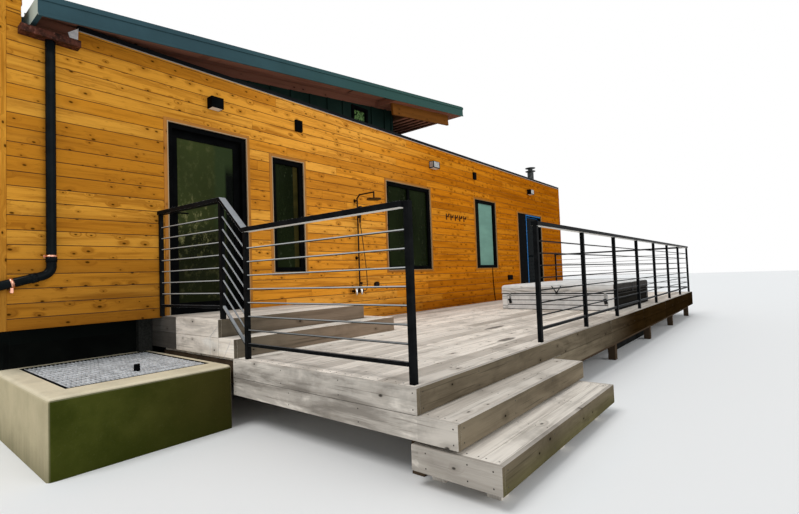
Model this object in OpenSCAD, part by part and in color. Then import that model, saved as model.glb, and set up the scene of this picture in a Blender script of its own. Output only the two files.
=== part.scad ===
// A long cabin made of shipping containers, clad in boards, with a shed roof over one end,
// a raised deck with steps and railings, a sunk hot tub and a light well under a grate.
// While it is drawn, X runs along the front wall from the deck's left end, Y runs into the
// cabin from the face of the cladding, and Z is height above the deck's top. Every sub-part
// is then moved so that the model stands centred on the ground.

/* [Levels] */
// Height of the deck's top above the ground
deck_top = 560; // [500:10:900]
// Height of the raised floor's structure above the deck's top
raised_floor = 300; // [250:10:400]
// Thickness of both floors
floor_t = 140; // [120:10:150]

/* [Cabin] */
// Whole length of the cabin
cabin_l = 12627; // [12400:1:14000]
// Length of the cabin to the left of the deck
cabin_past_deck = 1350; // [1330:10:1600]
// Whole depth of the cabin
cabin_d = 5000; // [4400:100:6000]
// Thickness of the clad walls
wall_t = 300; // [290:5:320]
// Height of the wall tops above the deck's top
wall_top = 2996; // [2980:1:3020]
// Thickness of the left end wall, which stands above the roof
end_wall_t = 240; // [220:5:260]
// Height of the left end wall's top above the deck's top
end_wall_top = 3420; // [3300:10:3600]
// Where the floor steps down, from the deck's left end
floor_step_x = 1650; // [1400:10:1690]
// How far the foundation and the floors are set back behind the cladding's face
recess = 270; // [240:10:280]
// Thickness of the foundation walls
foundation_t = 200; // [150:10:300]
// Width of the pier beside the landing
pier_w = 130; // [100:10:160]

/* [Doors] */
// Left edge of door 1
door_1_x = 91; // [60:1:160]
// Width of door 1 over its frame
door_1_w = 917; // [860:1:1000]
// Height of door 1's top above the deck's top
door_1_top = 2341; // [2250:1:2400]
// Left edge of door 2
door_2_x = 8444; // [8200:1:8600]
// Width of door 2 over its frame, with its side panel
door_2_w = 1425; // [1350:1:1500]
// Height of door 2's top above the deck's top
door_2_top = 2072; // [2000:1:2200]
// Width of door 2's fixed side panel
side_panel_w = 500; // [400:10:560]
// Width of the door frames' jambs
jamb = 38; // [30:1:50]
// Depth of the door frames
door_frame_d = 105; // [95:1:115]
// How far the door and window frames sit behind the cladding's face
frame_set = 10; // [5:1:20]
// How far the door stops reach into the opening
stop_w = 14; // [10:1:20]
// Thickness of the door leaves
leaf_t = 45; // [40:1:50]
// Running gap around the door leaves
leaf_gap = 6; // [5:1:8]
// Width of the door leaves' stiles and rails
stile = 85; // [70:1:130]
// Thickness of the door and window glass
glass_t = 24; // [18:1:28]
// Height of the hinge knuckles
hinge_h = 100; // [80:1:120]
// Radius of the hinge knuckles
hinge_r = 8; // [7:0.5:8]
// Height of the door handles above the floor
handle_h = 1050; // [950:10:1100]

/* [Windows] */
// Left edge of window 1
window_1_x = 1372; // [1250:1:1450]
// Width of window 1
window_1_w = 489; // [400:1:600]
// Left edge of window 2
window_2_x = 3552; // [3400:1:3700]
// Width of window 2, a pair of sashes
window_2_w = 1211; // [1000:1:1400]
// Left edge of window 3
window_3_x = 6381; // [6200:1:6600]
// Width of window 3
window_3_w = 906; // [800:1:1000]
// Height of the window sills above the deck's top
sill = 733; // [650:1:900]
// Height of the windows
window_h = 1459; // [1300:1:1500]
// Width of the window frames
window_frame = 62; // [50:1:80]
// Depth of the window frames
window_frame_d = 90; // [80:1:120]

/* [Flat roof] */
// Height of the flat roof's top above the deck's top
flat_roof_top = 2860; // [2840:1:2875]
// Thickness of the flat roof
flat_roof_t = 160; // [120:5:200]
// Height of the metal cap on the wall tops
cap_h = 50; // [30:1:80]
// How far the cap stands out past the cladding
cap_out = 12; // [5:1:20]
// Where the cap starts on the front and back walls
cap_x = -700; // [-710:1:400]

/* [Shed roof] */
// Where the shed roof starts, left of the deck's left end
roof_left = -1055; // [-1080:1:-1000]
// Where the shed roof ends
roof_right = 5620; // [5500:1:5900]
// Overhang of the shed roof past the front and back walls
roof_over = 270; // [240:1:350]
// Height of the shed roof's underside at the deck's left end
roof_under = 3030; // [3020:1:3080]
// Pitch of the shed roof, in degrees
roof_pitch = 6.9; // [6.5:0.1:7.2]
// Thickness of the shed roof
roof_t = 155; // [140:1:200]
// Thickness of the fascia around the eaves
fascia_t = 38; // [25:1:60]
// Height of the eaves' soffit above the fascia's bottom edge
soffit_up = 110; // [100:1:125]
// Where the walls under the shed roof end
clerestory_right = 4030; // [3900:1:4100]
// Thickness of the walls under the shed roof, which stand on the inner part of the cabin's walls
clerestory_t = 100; // [80:1:120]
// Left edge of the small window under the shed roof
high_window_x = 3048; // [2900:1:3100]
// Width of the small window under the shed roof
high_window_w = 300; // [280:1:400]
// Height of the small window under the shed roof
high_window_h = 268; // [150:1:290]
// Depth of the open rafters under the overhang
rafter_d = 190; // [150:1:200]
// Thickness of the open rafters
rafter_t = 40; // [35:1:50]
// Pitch of the open rafters
rafter_step = 173; // [160:1:230]
// Number of open rafters
rafter_n = 6; // [4:1:6]
// How far the side beams stand inside the roof's edges
beam_in = 130; // [100:1:160]
// How far the side beams run back past the open rafters
beam_back = 430; // [300:1:500]
// How far the side beams run on past the last rafter
beam_on = 310; // [50:1:350]

/* [Deck] */
// How far the deck stops short of the cabin's right end
deck_short = 467; // [400:1:700]
// Depth of the deck
deck_d = 3254; // [3200:1:3400]
// Thickness of the deck boards and treads
board_t = 28; // [22:1:36]
// Depth of the joists
joist_d = 184; // [150:1:190]
// Thickness of the joists
joist_t = 38; // [35:1:50]
// Pitch of the joists
joist_step = 610; // [400:10:650]
// Height of the skirt boards' lower edge below the deck's top
skirt_h = 293; // [285:1:300]
// Thickness of the skirt boards
skirt_t = 28; // [22:1:32]
// Depth of the beams under the joists
beam_d = 150; // [120:1:184]
// Width of the beams and of the posts under them
deck_post = 90; // [80:1:95]
// Number of deck posts in each row
deck_post_n = 6; // [5:1:8]

/* [Steps] */
// Length of the landing at door 1
landing_l = 1800; // [1760:10:1900]
// Depth of the landing
landing_d = 1115; // [1050:1:1140]
// Height of the landing above the deck's top
landing_top = 313; // [280:1:340]
// Height of the step below the landing
landing_step_top = 157; // [140:1:170]
// Tread of the step below the landing
landing_run = 245; // [220:1:280]
// Length of the upper front step
upper_step_l = 2000; // [1900:10:2200]
// Tread of the upper front step
upper_run = 265; // [240:1:300]
// Drop of the upper front step below the deck's top
upper_drop = 154; // [140:1:165]
// Length of the lower front step
lower_step_l = 1970; // [1900:10:2200]
// Tread of the lower front step
lower_run = 247; // [240:1:300]
// Drop of the lower front step below the deck's top
lower_drop = 317; // [300:1:330]
// Height of the lower front step's box
lower_step_h = 144; // [120:1:180]
// How far the lower front step runs back under the deck's edge
lower_back = 54; // [40:1:100]

/* [Railings] */
// Height of the deck railings
rail_h = 1080; // [1000:5:1100]
// Height of the landing railing above the landing
landing_rail_h = 1068; // [1000:1:1100]
// How far the landing railing leans left towards the wall
landing_rail_lean = 57; // [0:1:70]
// Width of the square posts
rail_post = 38; // [36:1:50]
// Width of the top rail
top_rail_w = 63; // [50:1:70]
// Depth of the top rail
top_rail_d = 38; // [30:1:45]
// Drop of the first rod below the top rail's top
rod_drop = 166; // [150:1:180]
// Pitch of the rods
rod_step = 112; // [100:1:115]
// Number of rods in a panel
rod_n = 7; // [5:1:7]
// Width of the square rods
rod_w = 12; // [10:1:16]
// Depth of the bottom rail
bottom_rail = 25; // [20:1:30]
// How far the post centres stand inside the deck's edge
rail_in = 60; // [50:1:80]
// Distance of the corner post's middle from the deck's left end and front
corner_in = 72; // [60:1:90]
// First post of the front railing
front_rail_x = 1900; // [1800:10:2100]
// Number of bays in the front railing
front_bays = 7; // [6:1:8]
// Gap between the stair rail's foot and the landing step
stair_rail_gap = 115; // [80:1:150]

/* [Hot tub] */
// Left side of the tub
tub_x = 5150; // [5000:10:5300]
// How far the tub's front stands back from the deck's front edge
tub_edge = 274; // [260:1:350]
// Length of the tub
tub_l = 2200; // [2000:10:2300]
// Depth of the tub, front to back
tub_d = 1790; // [1700:10:1900]
// Height of the tub's cabinet above the deck's top
tub_h = 265; // [240:1:400]
// Thickness of the tub's cover
cover_t = 160; // [100:1:170]
// Thickness of the tub's sides
tub_wall = 180; // [120:5:250]
// Depth of the tub's basin
basin_depth = 720; // [600:10:740]

/* [Light well] */
// Left side of the light well
well_left = 1250; // [1200:1:1300]
// Front of the light well, from the face of the cladding
well_front = 1340; // [1300:1:1400]
// Drop of the light well's rim below the deck's top
well_drop = 45; // [40:1:80]
// Thickness of the light well's left side
well_side = 175; // [150:1:200]
// Thickness of the light well's front
well_front_t = 255; // [200:1:280]
// Thickness of the light well's right side and back
well_back_t = 90; // [80:1:100]
// Clearance between the light well and the deck
well_gap = 5; // [3:1:10]
// Depth of the grate
grate_h = 30; // [25:1:40]
// Thickness of the grate's bars
grate_bar = 5; // [4:1:8]
// Pitch of the grate's bars
grate_step = 62; // [50:1:80]
// Pitch of the grate's cross bars
grate_cross = 160; // [120:10:200]
// Clearance around the grate
grate_gap = 3; // [2:0.5:5]

/* [Wall fittings] */
// Diameter of the downspout
spout_d = 75; // [60:1:90]
// Centre of the downspout, left of the deck's left end
spout_x = -920; // [-950:5:-850]
// Where the downspout turns to the left, above the deck's top
spout_turn = 760; // [700:10:900]
// Drop of the downspout's outlet below the turn
spout_drop = 110; // [60:10:200]
// Distance of the second strap from the downspout's centre
spout_strap = 260; // [200:10:350]
// Depth of the rain box at the downspout's head
rain_box_d = 112; // [100:1:160]
// Length of the rain box
rain_box_l = 430; // [350:10:450]
// Height of the rain box
rain_box_h = 62; // [50:1:110]
// Height of the lamps' undersides above the deck's top
lamp_z = 2590; // [2500:10:2650]
// Height of the lamps
lamp_h = 125; // [100:5:150]
// How far the lamps stand out
lamp_out = 110; // [80:5:150]
// Left side of lamp 1
lamp_1_x = 530; // [400:10:700]
// Width of lamp 1
lamp_1_w = 145; // [100:5:200]
// Left side of lamp 2
lamp_2_x = 4785; // [4600:5:4950]
// Left side of lamp 3
lamp_3_x = 9060; // [9000:10:9400]
// Width of lamps 2 and 3
lamp_w = 200; // [150:5:250]
// Left side of vent box 1
vent_1_x = 1740; // [1600:10:1900]
// Left side of vent box 2
vent_2_x = 6350; // [6200:10:6500]
// Width of the vent boxes
vent_w = 110; // [90:5:150]
// Height of the vent boxes
vent_h = 150; // [100:5:200]
// Height of the vent boxes above the lamps' undersides
vent_up = 15; // [0:5:50]
// How far the vent boxes stand out
vent_out = 40; // [20:5:60]
// Left side of the low vent
low_vent_x = 7765; // [7700:5:7900]
// Width of the low vent
low_vent_w = 210; // [150:5:250]
// Height of the low vent's underside above the deck's top
low_vent_z = 443; // [400:1:500]
// Height of the low vent
low_vent_h = 112; // [90:1:150]
// First hook
hook_x = 5290; // [5200:10:5400]
// Pitch of the hooks
hook_step = 158; // [120:1:170]
// Number of hooks
hook_n = 5; // [3:1:6]
// Height of the hooks above the deck's top
hook_z = 1735; // [1600:5:1800]
// How far the hooks stand out
hook_out = 48; // [40:1:70]
// Diameter of the flue
flue_d = 170; // [150:5:200]
// Diameter of the discs on the flue
flue_disc_d = 280; // [220:10:320]
// Thickness of the discs on the flue
flue_disc_t = 12; // [8:1:20]
// Gap between the discs
flue_disc_gap = 90; // [60:5:120]
// Height of the flue above the flat roof
flue_h = 690; // [500:10:800]
// Distance of the flue from the deck's left end
flue_x = 10340; // [10000:10:10500]
// Distance of the flue from the face of the cladding
flue_y = 420; // [350:10:600]

/* [Shower] */
// Distance of the shower's pipe from the deck's left end
shower_x = 2820; // [2700:10:2900]
// Distance of the shower's pipe from the wall
shower_out = 60; // [50:1:80]
// Height of the shower's arm above the deck's top
shower_top = 1860; // [1800:10:2000]
// Drop of the rain head below the arm
shower_drop = 110; // [80:10:160]
// Reach of the shower's arm from the wall
shower_reach = 400; // [300:10:450]
// Diameter of the shower's pipe
shower_pipe = 22; // [18:1:28]
// Diameter of the shower's head
shower_head = 210; // [150:10:300]
// Height of the mixer's centre above the deck's top
mixer_z = 430; // [380:10:430]
// Diameter of the shower's hose
hose_d = 12; // [10:1:14]
// Length of the mixer
mixer_l = 180; // [140:10:240]
// Diameter of the mixer
mixer_d = 50; // [40:1:60]
// Diameter of the hand piece
hand_d = 95; // [80:5:120]
// Length of the hand piece's grip
hand_l = 180; // [150:10:220]
// Height of the pipe's lower bracket above the deck's top
bracket_z = 920; // [800:10:1000]
// Distance of the round valve from the pipe
valve_x = 410; // [350:10:500]
// Height of the round valve above the deck's top
round_valve_z = 510; // [450:10:600]
// Diameter of the round valve
round_valve_d = 90; // [70:5:120]

/* [Hidden] */

// Ends and faces of the cabin
cabin_left = -cabin_past_deck;
cabin_right = cabin_left + cabin_l;
inner_left = cabin_left + end_wall_t;
inner_right = cabin_right - wall_t;
inner_back = cabin_d - wall_t;
bearing = wall_t - recess;
floor_left = inner_left - bearing;
floor_right = inner_right + bearing;
floor_back = inner_back + bearing;
step_right = floor_step_x + joist_t;
ground = -deck_top;
deck_l = cabin_right - deck_short;
roof_rise = tan(roof_pitch);

// The middle of the model's box
lowest_y = -(deck_d + upper_run + lower_run);
highest_y = cabin_d + roof_over;
centre_x = (cabin_left + cabin_right + cap_out) / 2;
centre_y = (lowest_y + highest_y) / 2;

// The door openings and what stands in them
door_1_bottom = raised_floor;
door_2_bottom = 0;
door_frame_back = frame_set + door_frame_d;
leaf_front = door_frame_back - leaf_t;
hinge_plate = 4;
hinge_plate_w = 30;
axis_back = hinge_r + 2;
rest_gap = 0.3;
handle_back = 55;
handle_r = 9;
handle_l = 120;
handle_out = 45;

// The shed roof's parts
beam_y = -roof_over + beam_in;
first_rafter_x = clerestory_right + 30;
last_rafter_x = first_rafter_x + (rafter_n - 1) * rafter_step;
beam_left = first_rafter_x - beam_back;
beam_right = last_rafter_x + rafter_t + beam_on;
clerestory_y = wall_t - clerestory_t;
high_window_z = wall_top + cap_h + 20;
high_window_frame = 30;
shed_meets_wall = (wall_top + rest_gap - roof_under) / roof_rise;
soffit_left = roof_left + fascia_t;
soffit_right = beam_left - fascia_t;

// The deck and its steps
post_w = rail_post;
deck_under = -board_t - joist_d;
beam_under = deck_under - beam_d;
under_wall = recess - 20;
landing_step_l = landing_l + landing_run;
landing_step_d = landing_d + landing_run;
stair_foot_y = -(landing_step_d + stair_rail_gap);
landing_post_y = -(landing_d - post_w / 2);
front_rail_y = -(deck_d - rail_in);
deck_beam_y = [-deck_d + 80, -500];
deck_beam_in = 150;

// The tub's hole in the deck
tub_y = -(deck_d - tub_edge);
tub_right = tub_x + tub_l;
tub_back = tub_y + tub_d;

// The light well and its grate
well_x0 = -well_left;
well_x1 = -well_gap;
well_y0 = -well_front;
well_y1 = recess;
grate_seat = 20;

// The hose's route, from the shower's valve to its hand piece
hose_route = [[2815, -100, 530], [2815, -100, 510], [2816, -100, 490], [2821, -100, 466],
    [2833, -100, 447], [2852, -100, 433], [2877, -100, 427], [2901, -100, 433], [2919, -100, 447],
    [2931, -100, 466], [2937, -100, 490], [2938, -100, 540], [2936, -100, 620], [2930, -100, 720],
    [2920, -100, 820], [2908, -100, 920], [2894, -100, 1020], [2878, -100, 1120],
    [2862, -100, 1220], [2847, -100, 1320], [2836, -100, 1380], [2829, -100, 1415],
    [2827, -100, 1430], [2827, -100, 1444]];
hose_sides = 8;
hose_ring = 36;

function under_roof(x) = roof_under + roof_rise * x;

// The top of a wall that carries the shed roof
function carries_roof(x) = under_roof(x) - rest_gap;

module at_centre() translate([-centre_x, -centre_y, deck_top]) children();

module box(x0, x1, y0, y1, z0, z1) translate([x0, y0, z0]) cube([x1 - x0, y1 - y0, z1 - z0]);

// A plate drawn in X and Z that reaches from y0 to y1
module xz_plate(points, y0, y1)
    translate([0, y1, 0]) rotate([90, 0, 0]) linear_extrude(y1 - y0) polygon(points);

// A straight round bar between two points
module bar(a, b, d) {
    v = b - a;
    translate(a) rotate([0, acos(v[2] / norm(v)), atan2(v[1], v[0])])
        cylinder(d = d, h = norm(v), $fn = 32);
}

// A square bar between two points in a plane of constant X
module sloped_bar(x0, x1, a, b, d) {
    depth = [0, d];
    translate([x0, 0, 0]) rotate([90, 0, 90]) linear_extrude(x1 - x0)
        polygon([a - depth, b - depth, b, a]);
}

// A band that follows the shed roof's underside, from bottom to top below it
module under_shed(x0, x1, y0, y1, bottom, top)
    xz_plate([[x0, under_roof(x0) - bottom], [x1, under_roof(x1) - bottom],
        [x1, under_roof(x1) - top], [x0, under_roof(x0) - top]], y0, y1);

module foundation_wall() color("dimgray") at_centre() {
    top = raised_floor - floor_t;
    profile = [[floor_left, ground], [floor_right, ground], [floor_right, -floor_t],
        [floor_step_x, -floor_t], [floor_step_x, top], [floor_left, top]];
    xz_plate(profile, recess, recess + foundation_t);
    xz_plate(profile, floor_back - foundation_t, floor_back);
    box(floor_left, floor_left + foundation_t, recess, floor_back, ground, top);
    box(floor_right - foundation_t, floor_right, recess, floor_back, ground, -floor_t);
    box(-pier_w - well_gap, -well_gap, recess - pier_w / 2, recess, -well_drop, raised_floor);
}

module floor() color("burlywood") at_centre() {
    box(floor_left, step_right, recess, floor_back, raised_floor - floor_t, raised_floor);
    box(floor_step_x, step_right, recess, floor_back, -floor_t, raised_floor);
    box(floor_step_x, floor_right, recess, floor_back, -floor_t, 0);
}

// The walls' outer part stands up to the cap's height inside the eaves
module eaves_wall(y0, y1) {
    left = soffit_left + rest_gap;
    xz_plate([[left, carries_roof(left)], [shed_meets_wall, wall_top], [left, wall_top]], y0, y1);
}

module front_wall_left() color("peru") at_centre() {
    xz_plate([[inner_left, raised_floor], [door_1_x, raised_floor], [door_1_x, wall_top],
        [shed_meets_wall, wall_top], [inner_left, carries_roof(inner_left)]], 0, wall_t);
    eaves_wall(0, clerestory_y);
}

module window_hole(x, w) box(x, x + w, -1, wall_t + 1, sill, sill + window_h);

module front_wall_middle() color("peru") at_centre() difference() {
    xz_plate([[door_1_x + door_1_w, raised_floor], [step_right, raised_floor], [step_right, 0],
        [door_2_x, 0], [door_2_x, wall_top], [door_1_x + door_1_w, wall_top]], 0, wall_t);
    window_hole(window_1_x, window_1_w);
    window_hole(window_2_x, window_2_w);
    window_hole(window_3_x, window_3_w);
}

module front_wall_right() color("peru") at_centre()
    box(door_2_x + door_2_w, cabin_right, 0, wall_t, 0, wall_top);

module door_heads() color("peru") at_centre() {
    box(door_1_x, door_1_x + door_1_w, 0, wall_t, door_1_top, wall_top);
    box(door_2_x, door_2_x + door_2_w, 0, wall_t, door_2_top, wall_top);
}

module back_wall() color("peru") at_centre() difference() {
    union() {
        xz_plate([[inner_left, raised_floor], [step_right, raised_floor], [step_right, 0],
            [cabin_right, 0], [cabin_right, wall_top], [shed_meets_wall, wall_top],
            [inner_left, carries_roof(inner_left)]], inner_back, cabin_d);
        eaves_wall(cabin_d - clerestory_y, cabin_d);
    }
    translate([0, inner_back, 0]) {
        window_hole(window_2_x, window_2_w);
        window_hole(window_3_x, window_3_w);
    }
}

module left_end_wall() color("peru") at_centre()
    box(cabin_left, inner_left, 0, cabin_d, raised_floor, end_wall_top);

module right_end_wall() color("peru") at_centre()
    box(inner_right, cabin_right, wall_t, inner_back, 0, wall_top);

module flat_roof() color("gray") at_centre()
    box(clerestory_right - clerestory_t, inner_right, wall_t, inner_back,
        flat_roof_top - flat_roof_t, flat_roof_top);

// The cap's two long sides stop short of the clerestory's face, then widen over the whole wall
module wall_cap() color("black") at_centre() {
    bottom = wall_top;
    top = wall_top + cap_h;
    right = cabin_right + cap_out;
    narrow = clerestory_y - cap_out;
    wide = wall_t + cap_out;
    wide_x = clerestory_right + cap_out;
    box(cap_x, right, -cap_out, narrow, bottom, top);
    box(wide_x, right, narrow, wide, bottom, top);
    box(cap_x, right, cabin_d - narrow, cabin_d + cap_out, bottom, top);
    box(wide_x, right, cabin_d - wide, cabin_d - narrow, bottom, top);
    box(inner_right - cap_out, right, wide, cabin_d - wide, bottom, top);
}

module clerestory_walls() color("darkslategray") at_centre() difference() {
    right = clerestory_right;
    left = right - clerestory_t;
    side = [[shed_meets_wall, wall_top], [right, wall_top], [right, carries_roof(right)]];
    union() {
        xz_plate(side, clerestory_y, wall_t);
        xz_plate(side, inner_back, cabin_d - clerestory_y);
        xz_plate([[left, flat_roof_top], [right, flat_roof_top], [right, carries_roof(right)],
            [left, carries_roof(left)]], wall_t, inner_back);
    }
    box(high_window_x, high_window_x + high_window_w, clerestory_y - 1, wall_t + 1,
        high_window_z, high_window_z + high_window_h);
}

// The small window under the shed roof, grown outwards by a margin
module high_window(margin, y0, y1)
    box(high_window_x - margin, high_window_x + high_window_w + margin, y0, y1,
        high_window_z - margin, high_window_z + high_window_h + margin);

// The roof overhangs the walls, and between them it runs on to the left end wall. Its eaves are
// hollow below, so that the soffit stands up inside the fascia and clears the walls' cap
module shed_roof() color("slategray") at_centre() difference() {
    union() {
        under_shed(roof_left, roof_right, -roof_over, cabin_d + roof_over, 0, -roof_t);
        under_shed(inner_left, roof_left, clerestory_y, cabin_d - clerestory_y, 0, -roof_t);
    }
    inner = clerestory_y + rest_gap;
    outer = roof_over - fascia_t;
    under_shed(soffit_left, soffit_right, -outer, inner, 1, -soffit_up);
    under_shed(soffit_left, soffit_right, cabin_d - inner, cabin_d + outer, 1, -soffit_up);
}

module open_rafters() color("sienna") at_centre() {
    back_beam = cabin_d - beam_y;
    under_shed(beam_left, beam_right, beam_y, beam_y + rafter_t, rafter_d, rest_gap);
    under_shed(beam_left, beam_right, back_beam - rafter_t, back_beam, rafter_d, rest_gap);
    for (i = [0 : rafter_n - 1]) {
        x = first_rafter_x + i * rafter_step;
        under_shed(x, x + rafter_t, beam_y + rafter_t, back_beam - rafter_t, rafter_d, rest_gap);
    }
}

module rain_box() color("saddlebrown") at_centre() {
    top = flat_roof_top;
    left = spout_x - rain_box_l / 2;
    sheet = 4;
    difference() {
        box(left, left + rain_box_l, -rain_box_d, 0, top - rain_box_h, top);
        box(left + sheet, left + rain_box_l - sheet, -rain_box_d + sheet, -sheet,
            top - rain_box_h + sheet, top + 1);
    }
}

module downspout() color("black") at_centre() {
    y = -spout_d / 2 - 12;
    top = flat_roof_top - rain_box_h;
    turn = [spout_x, y, spout_turn];
    outlet = [cabin_left + 20, y, spout_turn - spout_drop];
    strap = 30;
    hanger = spout_x - spout_strap;
    bar([spout_x, y, top], turn, spout_d);
    translate(turn) sphere(d = spout_d + 8, $fn = 32);
    bar(turn, outlet, spout_d);
    for (z = [spout_turn + 2 * spout_d])
        box(spout_x - spout_d / 2 - 5, spout_x + spout_d / 2 + 5, -strap, 0, z, z + strap);
    box(hanger - strap / 2, hanger + strap / 2, -strap, 0, spout_turn - spout_drop, spout_turn - 20);
}

module flue() color("silver") at_centre() {
    translate([flue_x, flue_y, flat_roof_top]) {
        lower = flue_h - flue_disc_gap - flue_disc_t;
        cylinder(d = flue_d * 1.3, h = 20, $fn = 48);
        cylinder(d = flue_d, h = lower + flue_disc_t / 2, $fn = 48);
        cylinder(d = flue_d * 0.75, h = flue_h - flue_disc_t / 2, $fn = 48);
        for (z = [lower, flue_h - flue_disc_t])
            translate([0, 0, z]) cylinder(d = flue_disc_d, h = flue_disc_t, $fn = 48);
    }
}

// A box lamp or a vent box on the front wall
module wall_box(x, w, z, h, out) box(x, x + w, -out, 0, z, z + h);

module wall_lamps() color("black") at_centre() {
    wall_box(lamp_1_x, lamp_1_w, lamp_z, lamp_h, lamp_out);
    wall_box(lamp_2_x, lamp_w, lamp_z, lamp_h, lamp_out);
    wall_box(lamp_3_x, lamp_w, lamp_z, lamp_h, lamp_out);
    wall_box(vent_1_x, vent_w, lamp_z + vent_up, vent_h, vent_out);
    wall_box(vent_2_x, vent_w, lamp_z + vent_up, vent_h, vent_out);
    wall_box(low_vent_x, low_vent_w, low_vent_z, low_vent_h, vent_out);
}

module shower_column() color("black") at_centre() {
    y = -shower_out;
    x = shower_x;
    bend = 50;
    valve_y = hose_route[0][1];
    valve_z = hose_route[0][2];
    hand_x = hose_route[len(hose_route) - 1][0];
    hand_y = hose_route[len(hose_route) - 1][1];
    hand_z = hose_route[len(hose_route) - 1][2];
    bar([x, y, mixer_z], [x, y, shower_top - bend], shower_pipe);
    translate([x, y, shower_top - bend]) sphere(d = shower_pipe + 4, $fn = 32);
    bar([x, y, shower_top - bend], [x, y - bend, shower_top], shower_pipe);
    translate([x, y - bend, shower_top]) sphere(d = shower_pipe + 4, $fn = 32);
    bar([x, y - bend, shower_top], [x, -shower_reach, shower_top], shower_pipe);
    translate([x, -shower_reach, shower_top]) sphere(d = shower_pipe + 4, $fn = 32);
    bar([x, -shower_reach, shower_top], [x, -shower_reach, shower_top - shower_drop], shower_pipe);
    translate([x, -shower_reach, shower_top - shower_drop]) cylinder(d = shower_head, h = 12, $fn = 48);
    for (z = [shower_top - 80, bracket_z]) {
        bar([x, 0, z], [x, y, z], 16);
        bar([x, 0, z], [x, -8, z], 55);
    }
    mixer_left = x - mixer_l * 2 / 3;
    bar([mixer_left, y, mixer_z], [mixer_left + mixer_l, y, mixer_z], mixer_d);
    for (side = [mixer_left + 20, mixer_left + mixer_l - 20])
        bar([side, 0, mixer_z], [side, y, mixer_z], 36);
    box(x - 14, x + 10, valve_y - 12, y, valve_z, valve_z + 30);
    box(x - 14, x + 18, hand_y - 16, y, hand_z + 70, hand_z + 110);
    bar([hand_x, hand_y, hand_z], [hand_x, hand_y, hand_z + hand_l], 26);
    bar([hand_x, hand_y - 25, hand_z + hand_l + 20], [hand_x, hand_y + 5, hand_z + hand_l + 20], hand_d);
    bar([x + valve_x, 0, round_valve_z], [x + valve_x, -45, round_valve_z], round_valve_d);
}

// Evenly spaced points along the hose's route
function between(a, b, t) = a + (b - a) * t;
hose_points = [for (i = [0 : len(hose_route) - 2])
    let (a = hose_route[i], b = hose_route[i + 1], n = ceil(norm(b - a) / hose_ring))
    for (k = [0 : n - 1]) between(a, b, k / n), hose_route[len(hose_route) - 1]];

function hose_heading(i) = let (n = len(hose_points) - 1,
    v = hose_points[min(i + 1, n)] - hose_points[max(i - 1, 0)]) v / norm(v);

// The hose lies in a plane of constant Y, so its rings are built from that normal
module shower_hose() color("silver") at_centre() {
    n = len(hose_points);
    r = hose_d / 2;
    side = [0, 1, 0];
    corners = [for (i = [0 : n - 1]) let (up = cross(side, hose_heading(i)))
        for (k = [0 : hose_sides - 1]) let (turn = 360 * k / hose_sides)
        hose_points[i] + r * (cos(turn) * side + sin(turn) * up)];
    walls = [for (i = [0 : n - 2]) for (k = [0 : hose_sides - 1]) let (next = (k + 1) % hose_sides)
        [i * hose_sides + k, i * hose_sides + next, (i + 1) * hose_sides + next,
        (i + 1) * hose_sides + k]];
    first = [for (k = [hose_sides - 1 : -1 : 0]) k];
    last = [for (k = [0 : hose_sides - 1]) (n - 1) * hose_sides + k];
    polyhedron(points = corners, faces = concat(walls, [first], [last]));
}

module hook_rack() color("black") at_centre()
    for (i = [0 : hook_n - 1]) translate([hook_x + i * hook_step, 0, hook_z]) {
        bar([0, 0, 0], [0, -6, 0], 40);
        bar([0, 0, 0], [0, 3 - hook_out, 0], 14);
        bar([0, 8 - hook_out, 0], [0, -hook_out, 0], 26);
    }

// A door frame with a stop that the leaf closes behind
module door_frame(x, w, z0, z1) {
    back = door_frame_back;
    stop_back = leaf_front - leaf_gap;
    difference() {
        box(x, x + w, frame_set, back, z0, z1);
        box(x + jamb, x + w - jamb, stop_back, back + 1, z0 + jamb, z1 - jamb);
        box(x + jamb + stop_w, x + w - jamb - stop_w, frame_set - 1, stop_back + 1,
            z0 + jamb + stop_w, z1 - jamb - stop_w);
    }
    frame_hinges(x + w - jamb, z0 + jamb, z1 - jamb);
}

// Heights of a door's three hinges in an opening
function hinge_heights(z0, z1) = [z0 + 200, (z0 + z1) / 2, z1 - 200 - 2 * hinge_h];

// The lower knuckle of each hinge, fixed to the jamb
module frame_hinges(x, z0, z1) for (z = hinge_heights(z0, z1)) {
    translate([x - leaf_gap / 2, door_frame_back + axis_back, z]) cylinder(r = hinge_r, h = hinge_h, $fn = 32);
    box(x - leaf_gap / 2, x + hinge_plate_w, door_frame_back, door_frame_back + hinge_plate, z, z + hinge_h);
}

// The upper knuckle of each hinge, fixed to the leaf
module leaf_hinges(x, z0, z1) for (z = hinge_heights(z0, z1)) {
    bottom = z + hinge_h + rest_gap;
    top = bottom + hinge_h;
    translate([x - leaf_gap / 2, door_frame_back + axis_back, bottom]) cylinder(r = hinge_r, h = hinge_h, $fn = 32);
    box(x - leaf_gap - hinge_plate_w, x - leaf_gap / 2, door_frame_back, door_frame_back + hinge_plate,
        bottom, top);
}

// A leaf in an opening from x0 to x1, with its hinges on the right
module door_leaf(x0, x1, z0, z1) {
    left = x0 + leaf_gap;
    right = x1 - leaf_gap;
    low = z0 + leaf_gap;
    high = z1 - leaf_gap;
    difference() {
        box(left, right, leaf_front, door_frame_back, low, high);
        box(left + stile, right - stile, leaf_front - 1, door_frame_back + 1, low + stile, high - stile);
    }
    leaf_hinges(x1, z0, z1);
    translate([left + handle_back, 0, z0 + handle_h]) {
        bar([0, leaf_front - handle_out, 0], [0, door_frame_back + handle_out, 0], 2 * handle_r);
        for (y = [leaf_front - handle_out, door_frame_back + handle_out])
            bar([0, y, 0], [handle_l, y, 0], 2 * handle_r);
        bar([0, leaf_front - 8, 0], [0, door_frame_back + 8, 0], 50);
    }
}

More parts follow.
